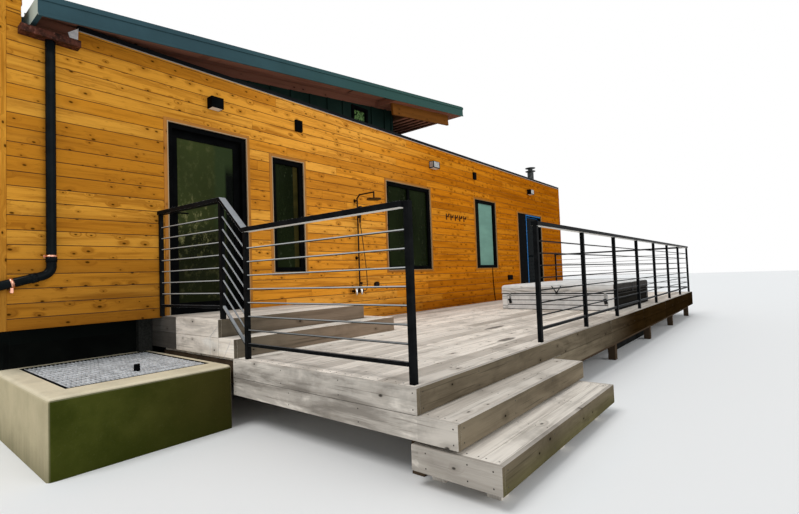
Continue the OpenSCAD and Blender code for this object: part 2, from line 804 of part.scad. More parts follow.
module door_pane(x0, x1, z0, z1) {
    edge = leaf_gap + stile;
    middle = door_frame_back - leaf_t / 2;
    box(x0 + edge, x1 - edge, middle - glass_t / 2, middle + glass_t / 2, z0 + edge, z1 - edge);
}

door_2_split = door_2_x + side_panel_w;

module door_frames() color("black") at_centre() {
    door_frame(door_1_x, door_1_w, door_1_bottom, door_1_top);
    door_frame(door_2_split, door_2_w - side_panel_w, door_2_bottom, door_2_top);
    box(door_2_x, door_2_split, frame_set, door_frame_back - leaf_t, door_2_bottom, door_2_top);
}

module door_1_leaf() color("black") at_centre()
    door_leaf(door_1_x + jamb, door_1_x + door_1_w - jamb, door_1_bottom + jamb, door_1_top - jamb);

module door_1_glass() color("lightblue", 0.4) at_centre()
    door_pane(door_1_x + jamb, door_1_x + door_1_w - jamb, door_1_bottom + jamb, door_1_top - jamb);

module door_2_leaf() color("midnightblue") at_centre()
    door_leaf(door_2_split + jamb, door_2_x + door_2_w - jamb, door_2_bottom + jamb, door_2_top - jamb);

module door_2_glass() color("lightblue", 0.4) at_centre()
    door_pane(door_2_split + jamb, door_2_x + door_2_w - jamb, door_2_bottom + jamb, door_2_top - jamb);

// A window frame in the front wall, in one or two lights
module window_frame_ring(x, w, lights) difference() {
    clear = (w - (lights + 1) * window_frame) / lights;
    box(x, x + w, frame_set, frame_set + window_frame_d, sill, sill + window_h);
    for (i = [0 : lights - 1]) {
        left = x + window_frame + i * (clear + window_frame);
        box(left, left + clear, 0, wall_t, sill + window_frame, sill + window_h - window_frame);
    }
}

module window_panes(x, w, lights) {
    clear = (w - (lights + 1) * window_frame) / lights;
    y = frame_set + (window_frame_d - glass_t) / 2;
    for (i = [0 : lights - 1]) {
        left = x + window_frame + i * (clear + window_frame);
        box(left, left + clear, y, y + glass_t, sill + window_frame, sill + window_h - window_frame);
    }
}

// What stands in the back wall, turned to face out of it
module on_back_wall() translate([0, cabin_d, 0]) mirror([0, 1, 0]) children();

module window_frames() color("black") at_centre() {
    window_frame_ring(window_1_x, window_1_w, 1);
    window_frame_ring(window_2_x, window_2_w, 2);
    window_frame_ring(window_3_x, window_3_w, 1);
    on_back_wall() {
        window_frame_ring(window_2_x, window_2_w, 2);
        window_frame_ring(window_3_x, window_3_w, 1);
    }
    difference() {
        high_window(0, clerestory_y, wall_t);
        high_window(-high_window_frame, clerestory_y - 1, wall_t + 1);
    }
}

module window_glass() color("lightblue", 0.4) at_centre() {
    window_panes(window_1_x, window_1_w, 1);
    window_panes(window_2_x, window_2_w, 2);
    window_panes(window_3_x, window_3_w, 1);
    on_back_wall() {
        window_panes(window_2_x, window_2_w, 2);
        window_panes(window_3_x, window_3_w, 1);
    }
    high_window(-high_window_frame, clerestory_y + frame_set, clerestory_y + frame_set + glass_t);
}

module tub_hole(z0, z1) box(tub_x, tub_right, tub_y, tub_back, z0, z1);

module deck_boards() color("tan") at_centre() difference() {
    box(0, deck_l, -deck_d, 0, -board_t, 0);
    tub_hole(-board_t - 1, 1);
}

module deck_joists() color("burlywood") at_centre() difference() {
    x0 = skirt_t;
    x1 = deck_l - skirt_t;
    y0 = -deck_d + skirt_t;
    y1 = 0;
    union() {
        for (x = [x0 : joist_step : x1 - joist_t]) box(x, x + joist_t, y0, y1, deck_under, -board_t);
        box(x1 - joist_t, x1, y0, y1, deck_under, -board_t);
        box(x0, x1, y0, y0 + joist_t, deck_under, -board_t);
        box(x0, x1, y1 - joist_t, y1, deck_under, -board_t);
    }
    tub_hole(deck_under - 1, 0);
}

// Two beams under the joists, each on a row of posts
module deck_beams() color("burlywood") at_centre() for (y = deck_beam_y)
    box(deck_beam_in, deck_l - deck_beam_in, y, y + deck_post, beam_under, deck_under);

module deck_posts() color("burlywood") at_centre()
    for (y = deck_beam_y) for (i = [0 : deck_post_n - 1]) {
        x = deck_beam_in + i * (deck_l - 2 * deck_beam_in - deck_post) / (deck_post_n - 1);
        box(x, x + deck_post, y, y + deck_post, ground, beam_under);
    }

module deck_skirt() color("rosybrown") at_centre() {
    box(0, skirt_t, -deck_d, under_wall, -skirt_h, -board_t);
    box(deck_l - skirt_t, deck_l, -deck_d, 0, -skirt_h, -board_t);
    box(skirt_t, deck_l - skirt_t, -deck_d, -deck_d + skirt_t, -skirt_h, -board_t);
}

// The landing's left side runs back under the wall
module landing() color("rosybrown") at_centre() {
    l = landing_l;
    d = landing_d;
    top = landing_top - board_t;
    box(0, l, -d, 0, top, landing_top);
    box(0, skirt_t, -d, under_wall, 0, top);
    box(l - skirt_t, l, -d, 0, 0, top);
    box(0, l, -d, -d + skirt_t, 0, top);
    box(0, l, -d / 2, -d / 2 + joist_t, 0, top);
}

// The step wraps the landing's front and right side
module landing_step() color("rosybrown") at_centre() {
    l = landing_step_l;
    d = landing_step_d;
    top = landing_step_top - board_t;
    box(0, l, -d, -landing_d, top, landing_step_top);
    box(landing_l, l, -landing_d, 0, top, landing_step_top);
    box(0, l, -d, -d + skirt_t, 0, top);
    box(l - skirt_t, l, -d, 0, 0, top);
    box(0, skirt_t, -d, -landing_d, 0, top);
    box(landing_l, landing_l + joist_t, -landing_d, 0, 0, top);
}

module upper_front_step() color("rosybrown") at_centre() {
    y0 = -(deck_d + upper_run);
    y1 = -deck_d;
    top = -upper_drop;
    l = upper_step_l;
    box(0, l, y0, y1, top - board_t, top);
    box(0, l, y0, y0 + skirt_t, -skirt_h, top - board_t);
    box(0, skirt_t, y0, y1, -skirt_h, top - board_t);
    box(l - skirt_t, l, y0, y1, -skirt_h, top - board_t);
    for (x = [l / 4, l / 2, l * 3 / 4]) box(x, x + joist_t, y0, y1, -skirt_h, top - board_t);
    for (x = [l / 4, l / 2, l * 3 / 4]) box(x, x + joist_t, y0 + 60, y1, -lower_drop, -skirt_h);
}

module lower_front_step() color("rosybrown") at_centre() {
    y0 = -(deck_d + upper_run + lower_run);
    y1 = -deck_d + lower_back;
    top = -lower_drop;
    bottom = top - lower_step_h;
    l = lower_step_l;
    box(0, l, y0, y1, top - board_t, top);
    box(0, l, y0, y0 + skirt_t, bottom, top - board_t);
    box(0, skirt_t, y0, y1, bottom, top - board_t);
    box(l - skirt_t, l, y0, y1, bottom, top - board_t);
    for (x = [l / 4, l / 2, l * 3 / 4]) box(x, x + joist_t, y0, y1, bottom, top - board_t);
    for (x = [150, l / 2, l - 150 - deck_post]) for (y = [y0 + 90, y1 - deck_post - 30])
        box(x, x + deck_post, y, y + deck_post, ground, top - board_t);
}

// A post of a railing, centred on x and y
module rail_post(x, y, z0, z1) box(x - post_w / 2, x + post_w / 2, y - post_w / 2, y + post_w / 2, z0, z1);

// Heights of a panel's rods below its top rail, and of its bottom rail
rod_drops = [for (i = [0 : rod_n - 1]) rod_drop + i * rod_step];
bottom_drop = rod_drop + rod_n * rod_step;

// A level panel along X
module panel_x(x0, x1, y, top) {
    box(x0, x1, y - top_rail_w / 2, y + top_rail_w / 2, top - top_rail_d, top);
    for (drop = rod_drops) box(x0, x1, y - rod_w / 2, y + rod_w / 2, top - drop - rod_w, top - drop);
    box(x0, x1, y - bottom_rail / 2, y + bottom_rail / 2, top - bottom_drop - bottom_rail, top - bottom_drop);
}

// A level or sloped panel along Y, from the far end to the near end
module panel_y(x, y0, y1, top0, top1) {
    sloped_bar(x - top_rail_w / 2, x + top_rail_w / 2, [y0, top0], [y1, top1], top_rail_d);
    for (drop = rod_drops)
        sloped_bar(x - rod_w / 2, x + rod_w / 2, [y0, top0 - drop], [y1, top1 - drop], rod_w);
    sloped_bar(x - bottom_rail / 2, x + bottom_rail / 2, [y0, top0 - bottom_drop],
        [y1, top1 - bottom_drop], bottom_rail);
}

// The panel leans to the left, from the landing's outer corner to the wall
module landing_railing() color("black") at_centre() {
    top = landing_top + landing_rail_h;
    wall_post_y = -post_w / 2;
    run = wall_post_y - landing_post_y;
    end_gap = 2;
    rail_post(rail_in - landing_rail_lean, wall_post_y, landing_top, top - top_rail_d);
    rail_post(rail_in, landing_post_y, landing_top, top - top_rail_d);
    translate([rail_in, landing_post_y, 0]) rotate([0, 0, atan(landing_rail_lean / run)])
        panel_y(0, end_gap - post_w / 2, run + post_w / 2 - end_gap, top, top);
}

// The sloped panel from the landing's post down to a post on the deck
module stair_railing() color("black") at_centre() {
    x = rail_in;
    rail_post(x, stair_foot_y, 0, rail_h - top_rail_d);
    panel_y(x, stair_foot_y + post_w / 2, landing_post_y - post_w / 2, rail_h,
        landing_top + landing_rail_h);
    box(x - top_rail_w / 2, x + top_rail_w / 2, stair_foot_y - post_w / 2, stair_foot_y + post_w / 2,
        rail_h - top_rail_d, rail_h);
}

module deck_end_railing() color("black") at_centre() {
    corner_y = -(deck_d - corner_in);
    rail_post(corner_in, corner_y, 0, rail_h);
    panel_y(rail_in, corner_y + post_w / 2, stair_foot_y - post_w / 2, rail_h, rail_h);
}

front_rail_end = deck_l - rail_in;
bay = (front_rail_end - front_rail_x) / front_bays;

module front_railing() color("black") at_centre() {
    for (i = [0 : front_bays]) rail_post(front_rail_x + i * bay, front_rail_y, 0, rail_h - top_rail_d);
    panel_x(front_rail_x - post_w / 2, front_rail_end + post_w / 2, front_rail_y, rail_h);
}

module far_end_railing() color("black") at_centre() {
    for (y = [front_rail_y / 2, -post_w / 2]) rail_post(front_rail_end, y, 0, rail_h - top_rail_d);
    panel_y(front_rail_end, front_rail_y + top_rail_w / 2, 0, rail_h, rail_h);
}

module tub_cabinet() color("gray") at_centre() difference() {
    box(tub_x, tub_right, tub_y, tub_back, ground, tub_h);
    box(tub_x + tub_wall, tub_right - tub_wall, tub_y + tub_wall, tub_back - tub_wall,
        tub_h - basin_depth, tub_h + 1);
}

module tub_cover() color("lightgray") at_centre()
    box(tub_x, tub_right, tub_y, tub_back, tub_h, tub_h + cover_t);

// The pit inside the light well, grown outwards by a margin
module well_pit(margin, z0, z1)
    box(well_x0 + well_side - margin, well_x1 - well_back_t + margin, well_y0 + well_front_t - margin,
        well_y1 - well_back_t + margin, z0, z1);

module light_well() color("tan") at_centre() difference() {
    box(well_x0, well_x1, well_y0, well_y1, ground, -well_drop);
    well_pit(0, ground - 1, 1);
    well_pit(grate_seat, -well_drop - grate_h, 1);
}

module well_grate() color("slategray") at_centre() {
    x0 = well_x0 + well_side - grate_seat + grate_gap;
    x1 = well_x1 - well_back_t + grate_seat - grate_gap;
    y0 = well_y0 + well_front_t - grate_seat + grate_gap;
    y1 = well_y1 - well_back_t + grate_seat - grate_gap;
    z0 = -well_drop - grate_h;
    z1 = -well_drop;
    edge = 8;
    difference() {
        box(x0, x1, y0, y1, z0, z1);
        box(x0 + edge, x1 - edge, y0 + edge, y1 - edge, z0 - 1, z1 + 1);
    }
    for (y = [y0 + grate_step : grate_step : y1 - grate_step / 2]) box(x0, x1, y, y + grate_bar, z0, z1);
    for (x = [x0 + grate_cross : grate_cross : x1 - grate_cross / 2]) box(x, x + grate_bar, y0, y1, z0, z1);
}

foundation_wall();
floor();
front_wall_left();
front_wall_middle();
front_wall_right();
door_heads();
back_wall();
left_end_wall();
right_end_wall();
flat_roof();
wall_cap();
clerestory_walls();
shed_roof();
open_rafters();
rain_box();
downspout();
flue();
wall_lamps();
shower_column();
shower_hose();
hook_rack();
door_frames();
door_1_leaf();
door_1_glass();
door_2_leaf();
door_2_glass();
window_frames();
window_glass();
deck_boards();
deck_joists();
deck_beams();
deck_posts();
deck_skirt();
landing();
landing_step();
upper_front_step();
lower_front_step();
landing_railing();
stair_railing();
deck_end_railing();
front_railing();
far_end_railing();
tub_cabinet();
tub_cover();
light_well();
well_grate();
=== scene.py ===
"""Dresses the container cabin: siding, roofs, doors and windows, deck, railings, tub and light well."""

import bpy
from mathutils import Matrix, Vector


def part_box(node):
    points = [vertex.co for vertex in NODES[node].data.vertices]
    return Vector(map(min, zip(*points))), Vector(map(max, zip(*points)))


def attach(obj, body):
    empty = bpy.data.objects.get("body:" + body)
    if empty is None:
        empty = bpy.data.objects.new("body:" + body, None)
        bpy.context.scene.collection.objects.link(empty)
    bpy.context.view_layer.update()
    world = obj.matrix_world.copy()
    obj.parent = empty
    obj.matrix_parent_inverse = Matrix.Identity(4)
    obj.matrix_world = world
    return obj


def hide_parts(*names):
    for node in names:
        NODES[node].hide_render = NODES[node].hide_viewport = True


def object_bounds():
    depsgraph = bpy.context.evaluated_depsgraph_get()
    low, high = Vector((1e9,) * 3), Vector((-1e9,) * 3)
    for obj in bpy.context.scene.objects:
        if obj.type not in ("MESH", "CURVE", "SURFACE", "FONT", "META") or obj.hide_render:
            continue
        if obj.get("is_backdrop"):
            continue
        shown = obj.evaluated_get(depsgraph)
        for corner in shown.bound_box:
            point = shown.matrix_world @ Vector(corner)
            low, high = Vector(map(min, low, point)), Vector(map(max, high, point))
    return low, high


bl_info = {
    "name": "Container cabin",
    "version": (1, 0, 0),
    "blender": (4, 5, 0),
    "location": "View3D > Sidebar > Cabin",
    "description": "A board-clad cabin with a shed roof, a raised deck, a hot tub and a light well",
    "category": "Object",
}

import math
import random

import bmesh
import bpy
from bpy.props import FloatProperty, FloatVectorProperty, IntProperty, PointerProperty
from bpy.types import Operator, Panel, PropertyGroup
from mathutils import Matrix, Vector

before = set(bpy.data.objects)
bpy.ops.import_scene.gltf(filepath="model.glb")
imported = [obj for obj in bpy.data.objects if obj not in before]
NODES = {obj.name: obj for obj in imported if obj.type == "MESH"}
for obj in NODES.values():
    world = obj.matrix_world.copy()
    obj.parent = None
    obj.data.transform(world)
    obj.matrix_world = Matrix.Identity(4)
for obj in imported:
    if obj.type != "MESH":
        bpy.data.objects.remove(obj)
CAD_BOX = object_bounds()

# Sizes are drawn from the deck's back left corner: X along the front wall, Y into the cabin and
# Z above the deck's top, in metres
ORIGIN = Vector((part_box("deck_boards")[0].x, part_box("deck_boards")[1].y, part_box("deck_boards")[1].z))
X, Y, Z = Vector((1, 0, 0)), Vector((0, 1, 0)), Vector((0, 0, 1))


def drawn(node):
    """A CAD node's lowest and highest corners, as they are drawn."""
    low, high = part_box(node)
    return low - ORIGIN, high - ORIGIN


END_LOW, (END_INNER, WALL_BACK, END_TOP) = drawn("left_end_wall")
WALL_LEFT, WALL_FOOT = END_LOW.x, END_LOW.z
WALL_RIGHT, WALL_TOP = drawn("right_end_wall")[1].x, drawn("front_wall_right")[1].z
FLOOR_STEP = 1.688
DECK_LOW, DECK_HIGH = drawn("deck_boards")
ROOF_LOW, ROOF_HIGH = drawn("shed_roof")
ROOF_PITCH = math.radians(6.9)
ROOF_UNDER = 3.030
ROOF_THICK = 0.155
ROOF_LEFT = -1.055
SOFFIT_LEFT, SOFFIT_RIGHT, SOFFIT_RISE = -1.0165, 3.592, 0.110
FASCIA = 0.038
DECK_FASCIA = 0.030
FASCIA_LOW, FASCIA_SPLIT, FASCIA_UP = -0.293, -0.154, -0.150
FASCIA_END = -1.345
BOARD = 0.028
UNDER_WALL = 0.262
# Left, right, lowest and highest of the small window and of the openings in the front wall
HIGH_WINDOW = (3.048, 3.348, 3.066, 3.334)
# Where the painted shadow on the landing's side begins
SHADOW_FROM = -0.323
CLERESTORY_RIGHT = drawn("clerestory_walls")[1].x
CLERESTORY_FRONT = drawn("clerestory_walls")[0].y
OPENINGS = {
    "door_1": (0.091, 1.008, 0.300, 2.341),
    "door_2": (8.444, 9.869, 0.0, 2.072),
    "window_1": (1.372, 1.861, 0.733, 2.192),
    "window_2": (3.552, 4.763, 0.733, 2.192),
    "window_3": (6.381, 7.287, 0.733, 2.192),
}
BACK_WINDOWS = ("window_2", "window_3")
SIDING_EDGE = 0.0018
WALL_CLEAR = 0.012
SCREW_INSET = 0.028
HALF_JOINT = 0.0015
STEP_SIDE = 0.144


def under_roof(x):
    """Height of the shed roof's underside."""
    return ROOF_UNDER + math.tan(ROOF_PITCH) * x


# Properties


def size(name, text, value, low=0.0, high=1.0):
    """A length that the panel shows."""
    return FloatProperty(name=name, description=text, default=value, min=low, max=high,
                         unit="LENGTH", subtype="DISTANCE", precision=4)


def colour(name, text, value):
    """A colour that the panel shows."""
    return FloatVectorProperty(name=name, description=text, default=value, min=0.0, max=1.0,
                               subtype="COLOR", size=3)


class CabinSizes(PropertyGroup):
    """Sizes of the boards, trims and fittings that are added to the solids."""
    exposure: size("Board exposure", "Height of one course of siding", 0.1227, 0.08, 0.2)
    first_seam: size("First seam", "Height of the first seam of the siding", 0.0279, 0.0, 0.12)
    board_gap: size("Siding gap", "Dark seam between two courses", 0.006, 0.002, 0.01)
    board_proud: size("Siding stand-out", "How far the siding stands out of the wall", 0.008, 0.004, 0.01)
    trim_width: size("Trim width", "Width of the trims around doors and windows", 0.044, 0.03, 0.09)
    slim_trim: size("Edging", "Width of the pale edging inside the trims", 0.009, 0.004, 0.02)
    corner_width: size("Corner board", "Width of the corner boards", 0.140, 0.08, 0.2)
    deck_board: size("Deck board", "Width of a deck board", 0.1400, 0.09, 0.19)
    deck_gap: size("Deck gap", "Gap between two deck boards", 0.006, 0.003, 0.01)
    screw_d: size("Screw heads", "Diameter of the screw heads", 0.009, 0.004, 0.02)
    seam_step: size("Roof seams", "Distance between the roof's standing seams", 0.42, 0.3, 0.6)
    grate_step: size("Grate bars", "Distance between the grate's bars", 0.030, 0.02, 0.06)
    cap_crown: size("Cover crown", "How far the tub's cover rises in the middle", 0.022, 0.0, 0.05)
    seed: IntProperty(name="Seed", description="Seed of the boards' lengths and tones", default=7, min=0)


class CabinColours(PropertyGroup):
    """Main colours of the cabin."""
    honey: colour("Honey", "Most of the siding", (0.630, 0.240, 0.024))
    straw: colour("Straw", "Palest boards of the siding", (0.680, 0.310, 0.055))
    russet: colour("Russet", "Darkest boards of the siding", (0.330, 0.110, 0.012))
    silver: colour("Silver timber", "Weathered deck boards", (0.790, 0.725, 0.640))
    driftwood: colour("Driftwood", "Darker weathered boards", (0.390, 0.340, 0.285))
    roof: colour("Roof metal", "Fascia and roof sheets", (0.034, 0.075, 0.090))
    panel: colour("Green panel", "Walls under the shed roof", (0.010, 0.023, 0.018))
    metal: colour("Black metal", "Railings, frames and pipes", (0.006, 0.0065, 0.007))
    soffit: colour("Soffit", "Boards under the shed roof", (0.300, 0.125, 0.080))
    beam: colour("Stained beams", "Open rafters and side beams", (0.215, 0.078, 0.014))
    door: colour("Blue paint", "Line round door 2", (0.010, 0.150, 0.420))
    vinyl: colour("Vinyl", "Cover of the hot tub", (0.720, 0.720, 0.700))
    rim: colour("Pale concrete", "Rim of the light well", (0.700, 0.620, 0.450))
    moss: colour("Mossy concrete", "Shaded front of the light well", (0.060, 0.068, 0.012))


# Materials


class Value:
    """A socket that can be used in Python maths. Every operator adds a Math node."""

    def __init__(self, finish, socket):
        self.finish, self.socket = finish, socket

    def _math(self, operation, *terms, clamp=False):
        return self.finish.node("ShaderNodeMath", {"operation": operation, "use_clamp": clamp},
                                dict(enumerate(terms)))

    def __add__(self, other):
        return self._math("ADD", self, other)

    def __sub__(self, other):
        return self._math("SUBTRACT", self, other)

    def __mul__(self, other):
        return self._math("MULTIPLY", self, other)

    def __truediv__(self, other):
        return self._math("DIVIDE", self, other)

    def __rsub__(self, other):
        return self._math("SUBTRACT", other, self)

    __radd__ = __add__
    __rmul__ = __mul__

    def band(self, low, high):
        """A smooth step from 0 at low to 1 at high. Low may be the larger number."""
        return self.finish.node("ShaderNodeMapRange", {"interpolation_type": "SMOOTHSTEP"},
                                {"Value": self, "From Min": low, "From Max": high})

    def above(self, limit):
        return self._math("GREATER_THAN", self, limit)

    def below(self, limit):
        return self._math("LESS_THAN", self, limit)

    def between(self, low, high):
        """1 between low and high, and 0 outside."""
        return self.above(low) * self.below(high)

    def clamped(self):
        return self._math("ADD", self, 0.0, clamp=True)


class Finish:
    """One procedural material. Its shader's sockets are set by name."""

    def __init__(self, name, **sockets):
        self.material = bpy.data.materials.new(name)
        self.material.use_nodes = True
        self.tree = self.material.node_tree
        self.shader = self.tree.nodes["Principled BSDF"]
        self.set(**sockets)

    def put(self, socket, value):
        if isinstance(value, Value):
            self.tree.links.new(value.socket, socket)
        elif hasattr(value, "__len__") and len(value) == 3 and len(socket.default_value) == 4:
            socket.default_value = (*value, 1.0)
        else:
            socket.default_value = value

    def node(self, kind, settings=None, sockets=None, out=0):
        made = self.tree.nodes.new(kind)
        for key, value in (settings or {}).items():
            setattr(made, key, value)
        for key, value in (sockets or {}).items():
            self.put(made.inputs[key], value)
        return Value(self, made.outputs[out])

    def set(self, **sockets):
        for key, value in sockets.items():
            self.put(self.shader.inputs[key.replace("_", " ")], value)
        return self

    def place(self):
        """Object coordinates, which are the same as the frame's."""
        return self.node("ShaderNodeTexCoord", out="Object")

    def attribute(self, name, out="Vector"):
        return self.node("ShaderNodeAttribute", {"attribute_name": name}, out=out)

    def noise(self, vector, scale, detail=4.0, rough=0.55, distortion=0.0):
        """Noise of one scale, or of one scale for each axis."""
        if isinstance(scale, tuple):
            vector = self.node("ShaderNodeMapping", None, {"Vector": vector, "Scale": scale})
            scale = 1.0
        return self.node("ShaderNodeTexNoise", None, {"Vector": vector, "Scale": scale, "Detail": detail,
                                                      "Roughness": rough, "Distortion": distortion})

    def axes(self, vector):
        made = self.tree.nodes.new("ShaderNodeSeparateXYZ")
        self.put(made.inputs[0], vector)
        return [Value(self, s) for s in made.outputs]

    def spot(self):
        """The point's X, Y and Z from the deck's corner, as sizes are drawn."""
        return [value - start for value, start in zip(self.axes(self.place()), ORIGIN)]

    def facing(self):
        """X, Y and Z of the way that the surface faces."""
        return self.axes(self.node("ShaderNodeNewGeometry", out="Normal"))

    def front(self):
        """1 where the surface faces the front."""
        return self.facing()[1].band(-0.5, -0.9)

    def colour(self):
        """What feeds the base colour so far."""
        return Value(self, self.shader.inputs["Base Color"].links[0].from_socket)

    def vector(self, *parts):
        return self.node("ShaderNodeCombineXYZ", None, dict(enumerate(parts)))

    def mix(self, factor, a, b, blend="MIX"):
        return self.node("ShaderNodeMix", {"data_type": "RGBA", "blend_type": blend},
                         {0: factor, 6: a, 7: b}, out=2)

    def layers(self, body, *rows):
        """Colours over a body colour: each row has a mask, its band, an amount and the colour."""
        for mask, low, high, amount, colour in rows:
            body = self.mix(mask.band(low, high) * amount, body, colour)
        return body

    def tinted(self, factor, body, tint):
        """A colour, multiplied by a tint as far as the factor says."""
        return self.mix(factor, body, self.mix(1.0, body, tint, "MULTIPLY"))

    def bump(self, height, strength=0.3, distance=0.002):
        normal = self.node("ShaderNodeBump", None, {"Height": height, "Strength": strength,
                                                    "Distance": distance})
        return self.set(Normal=normal)


FINISHES = {}


def finish(name):
    """A material by name, made when it is first used."""
    if name not in FINISHES:
        make, *given = MAKERS[name]
        named = given.pop() if given and isinstance(given[-1], dict) else {}
        FINISHES[name] = make(*given, **named).material
    return FINISHES[name]


def shade(c, factor):
    """A colour made darker or lighter."""
    return tuple(min(1.0, v * factor) for v in c)


def colours():
    return bpy.context.scene.cabin_colours


def sizes():
    return bpy.context.scene.cabin_sizes


def picked(colour):
    """A colour from its three parts, from its property's name, or from that name and a factor."""
    name, factor = (colour, 1.0) if isinstance(colour, str) else colour[:2]
    return shade(getattr(colours(), name), factor) if isinstance(name, str) else colour


def timber(name, light, pale, dark, knots=0.5, streaks=0.5, weather=0.0, rough=0.6, sheen=0.02,
           spread=0.6, shaded=None, clouds=0.0, flecks=0.0, tints=(), marks=()):
    """Sawn timber with grain along each board, knots, and a tone of its own for every board."""
    light, pale, dark = picked(light), picked(pale), picked(dark)
    f = Finish(name)
    x, y, z = f.spot()
    grain = f.attribute("grain")
    tone = f.attribute("tone", "Fac")
    along, across, deep = f.axes(grain)
    cells = {"Vector": f.vector(along * 5.2 + across * 0.9, across * 9.0, 0.0), "Scale": 1.0,
             "Randomness": 0.9}
    knot_far, knot_pick = (f.node("ShaderNodeTexVoronoi", {"voronoi_dimensions": "2D"}, cells, out)
                           for out in ("Distance", "Color"))
    lot = f.axes(knot_pick)
    chosen = lot[0].above(1.0 - knots)
    reach = knot_far / (lot[1] * 0.9 + 0.45)
    knot = reach.band(0.095, 0.035) * chosen
    halo = reach.band(0.40, 0.07) * chosen
    swirl = f.vector(along * 0.9, across * 17.0 + halo * 1.3, deep * 17.0)
    fibre = f.noise(swirl, 1.0, 5.0, 0.6, 0.25)
    fine = f.noise(grain, (4.0, 120.0, 120.0), 3.0, 0.6)
    patch = f.noise(grain, (0.8, 3.0, 3.0), 2.0)
    body = f.layers(light, (tone, 0.45, 0.98, spread, pale), (tone, 0.38, 0.02, spread * 0.7, dark),
                    (fibre, 0.42, 0.70, streaks, dark), (patch, 0.55, 0.8, 0.35, pale),
                    (fine, 0.5, 0.75, 0.22, shade(dark, 0.6)))
    if clouds:
        near = f.facing()[0].band(-0.5, -0.9) * y.above(-3.25)
        clouds = (near * 0.65 + 0.35) * clouds
        wash = f.noise(f.place(), (1.5, 1.5, 9.0), 6.0, 0.62, 0.5)
        body = f.layers(body, (wash, 0.50, 0.34, clouds * 0.75, shade(dark, 0.62)),
                        (wash, 0.50, 0.66, clouds * 0.8, shade(pale, 1.25)))
    if weather:
        stain = f.noise(f.place(), 2.3, 5.0, 0.65)
        check = f.noise(grain, (1.5, 60.0, 60.0), 2.0)
        body = f.layers(body, (stain, 0.48, 0.72, weather, shade(dark, 0.55)),
                        (check, 0.62, 0.70, weather, shade(dark, 0.3)))
    if flecks:
        fleck = f.noise(grain, (8.0, 34.0, 34.0), 6.0, 0.7)
        body = f.layers(body, (fleck, 0.56, 0.70, flecks, shade(dark, 0.6)))
    for at_x, at_y, half_x, half_y in marks:
        u, v = (x - at_x) / half_x, (y - at_y) / half_y
        ragged = u * u + v * v + (fibre - 0.5) * 1.6
        body = f.layers(body, (ragged, 1.0, 0.45, 0.8, shade(dark, 0.22)))
    body = f.mix(halo * 0.45, body, dark)
    body = f.mix(knot * 0.95, body, shade(dark, 0.18))
    # Painted light and shade on the front faces, when they are asked for
    if tints:
        body = painted_wall_light(f, body, *tints)
    if shaded:
        body = fascia_shade(f, body, shaded)
    f.set(Base_Color=body, Roughness=fine * 0.25 + (rough - 0.1), Specular_IOR_Level=sheen)
    return f.bump(fibre * 0.6 + fine * 0.5 - knot * 0.4, 0.25, 0.0015)


def painted_wall_light(f, body, first, *others):
    """Painted light on the front: a tint for the wall's left end, and others that each come in from one X
    to the next.

    The wall's foot is greyer at the left, as painted shade, and streaked a darker brown at the right.
    """
    x, y, z = f.spot()
    place = f.place()
    wash = f.noise(place, 1.1, 3.0)
    tint = first
    for start, end, shift in others:
        tint = f.mix((x + wash * 0.6).band(start, end), tint, shift)
    # Greyer low at the left, as painted shade; darker brown streaks low at the right
    grey = (z + wash * 0.4).band(1.5, 0.5) * x.band(1.4, -0.3)
    tint = f.mix(grey, tint, (0.68, 0.74, 0.75))
    streak = f.noise(place, (1.2, 1.2, 14.0), 4.0, 0.6)
    brown_streaks = (z + streak * 0.5).band(0.75, 0.20) * x.band(2.4, 3.6)
    tint = f.mix(brown_streaks * 0.75, tint, (0.42, 0.28, 0.10))
    return f.tinted(f.front(), body, tint)


def fascia_shade(f, body, shaded):
    """Painted shade on the front fascias and in their seam, browner to the far end, with a painted green
    reflection at the foot.
    """
    x, y, z = f.spot()
    seam = x.above(2.2) * y.below(DECK_LOW.y + DECK_FASCIA + 0.001) * z.below(-0.1)
    front = (f.front() + seam).clamped()
    body = f.tinted(front, body, shaded)
    body = f.tinted(x.band(1.9, 5.2) * front, body, (0.105, 0.068, 0.030))
    return f.tinted(z.band(-0.30, -0.50) * front * 0.8, body, (0.72, 0.82, 0.45))


def painted(name, colour, rough, wear, scale, bump, gloss=0.3, metallic=0.0, **sides):
    """Paint or coated metal with faint cloudiness, and another colour on the sides that are named, mostly
    painted light and shade.
    """
    colour = picked(colour)
    f = Finish(name)
    place = f.place()
    cloud = f.noise(place, scale, 5.0, 0.6)
    fleck = f.noise(place, scale * 22.0, 2.0, 0.5)
    body = f.mix(cloud.band(0.35, 0.7), shade(colour, 1.0 - wear), shade(colour, 1.0 + 1.6 * wear))
    for side, lit in sides.items():
        body = f.mix(SIDES[side](f, cloud), body, lit)
    f.set(Base_Color=body, Metallic=metallic, Roughness=cloud * 0.18 + fleck * 0.08 + (rough - 0.12),
          Specular_IOR_Level=gloss)
    return f.bump(fleck, bump, 0.0006)


def sky_sheen_slopes(f, cloud):
    """1 on slopes that look up, and less on level faces, where the metal gets a painted sky reflection."""
    up = f.facing()[2]
    return up.band(0.25, 0.8) * (1.0 - up.band(0.93, 0.98) * 0.75) * (cloud * 0.4 + 0.6)


def lit_rods(f, cloud):
    """1 on the upper half of the railings' rods, where they look to the light."""
    facing = f.facing()
    lit = (facing[2] * 0.25 - facing[0]).band(0.10, 0.85)
    level = f.spot()[2].band(0.15, 0.60) * 0.6 + 0.4
    return f.attribute("slim", "Fac") * lit * f.attribute("rise", "Fac").band(0.30, 0.55) * level


def rail_underside(f, cloud):
    """1 under the rails at the top of the railings, for a pale painted highlight there."""
    return f.facing()[2].band(-0.92, -0.98) * f.spot()[2].between(1.0, 1.06)


def far_end(f, cloud):
    """1 on the roof's upright faces, more and more to the right."""
    return f.spot()[0].band(0.0, 4.2) * f.facing()[2].band(0.9, 0.5)


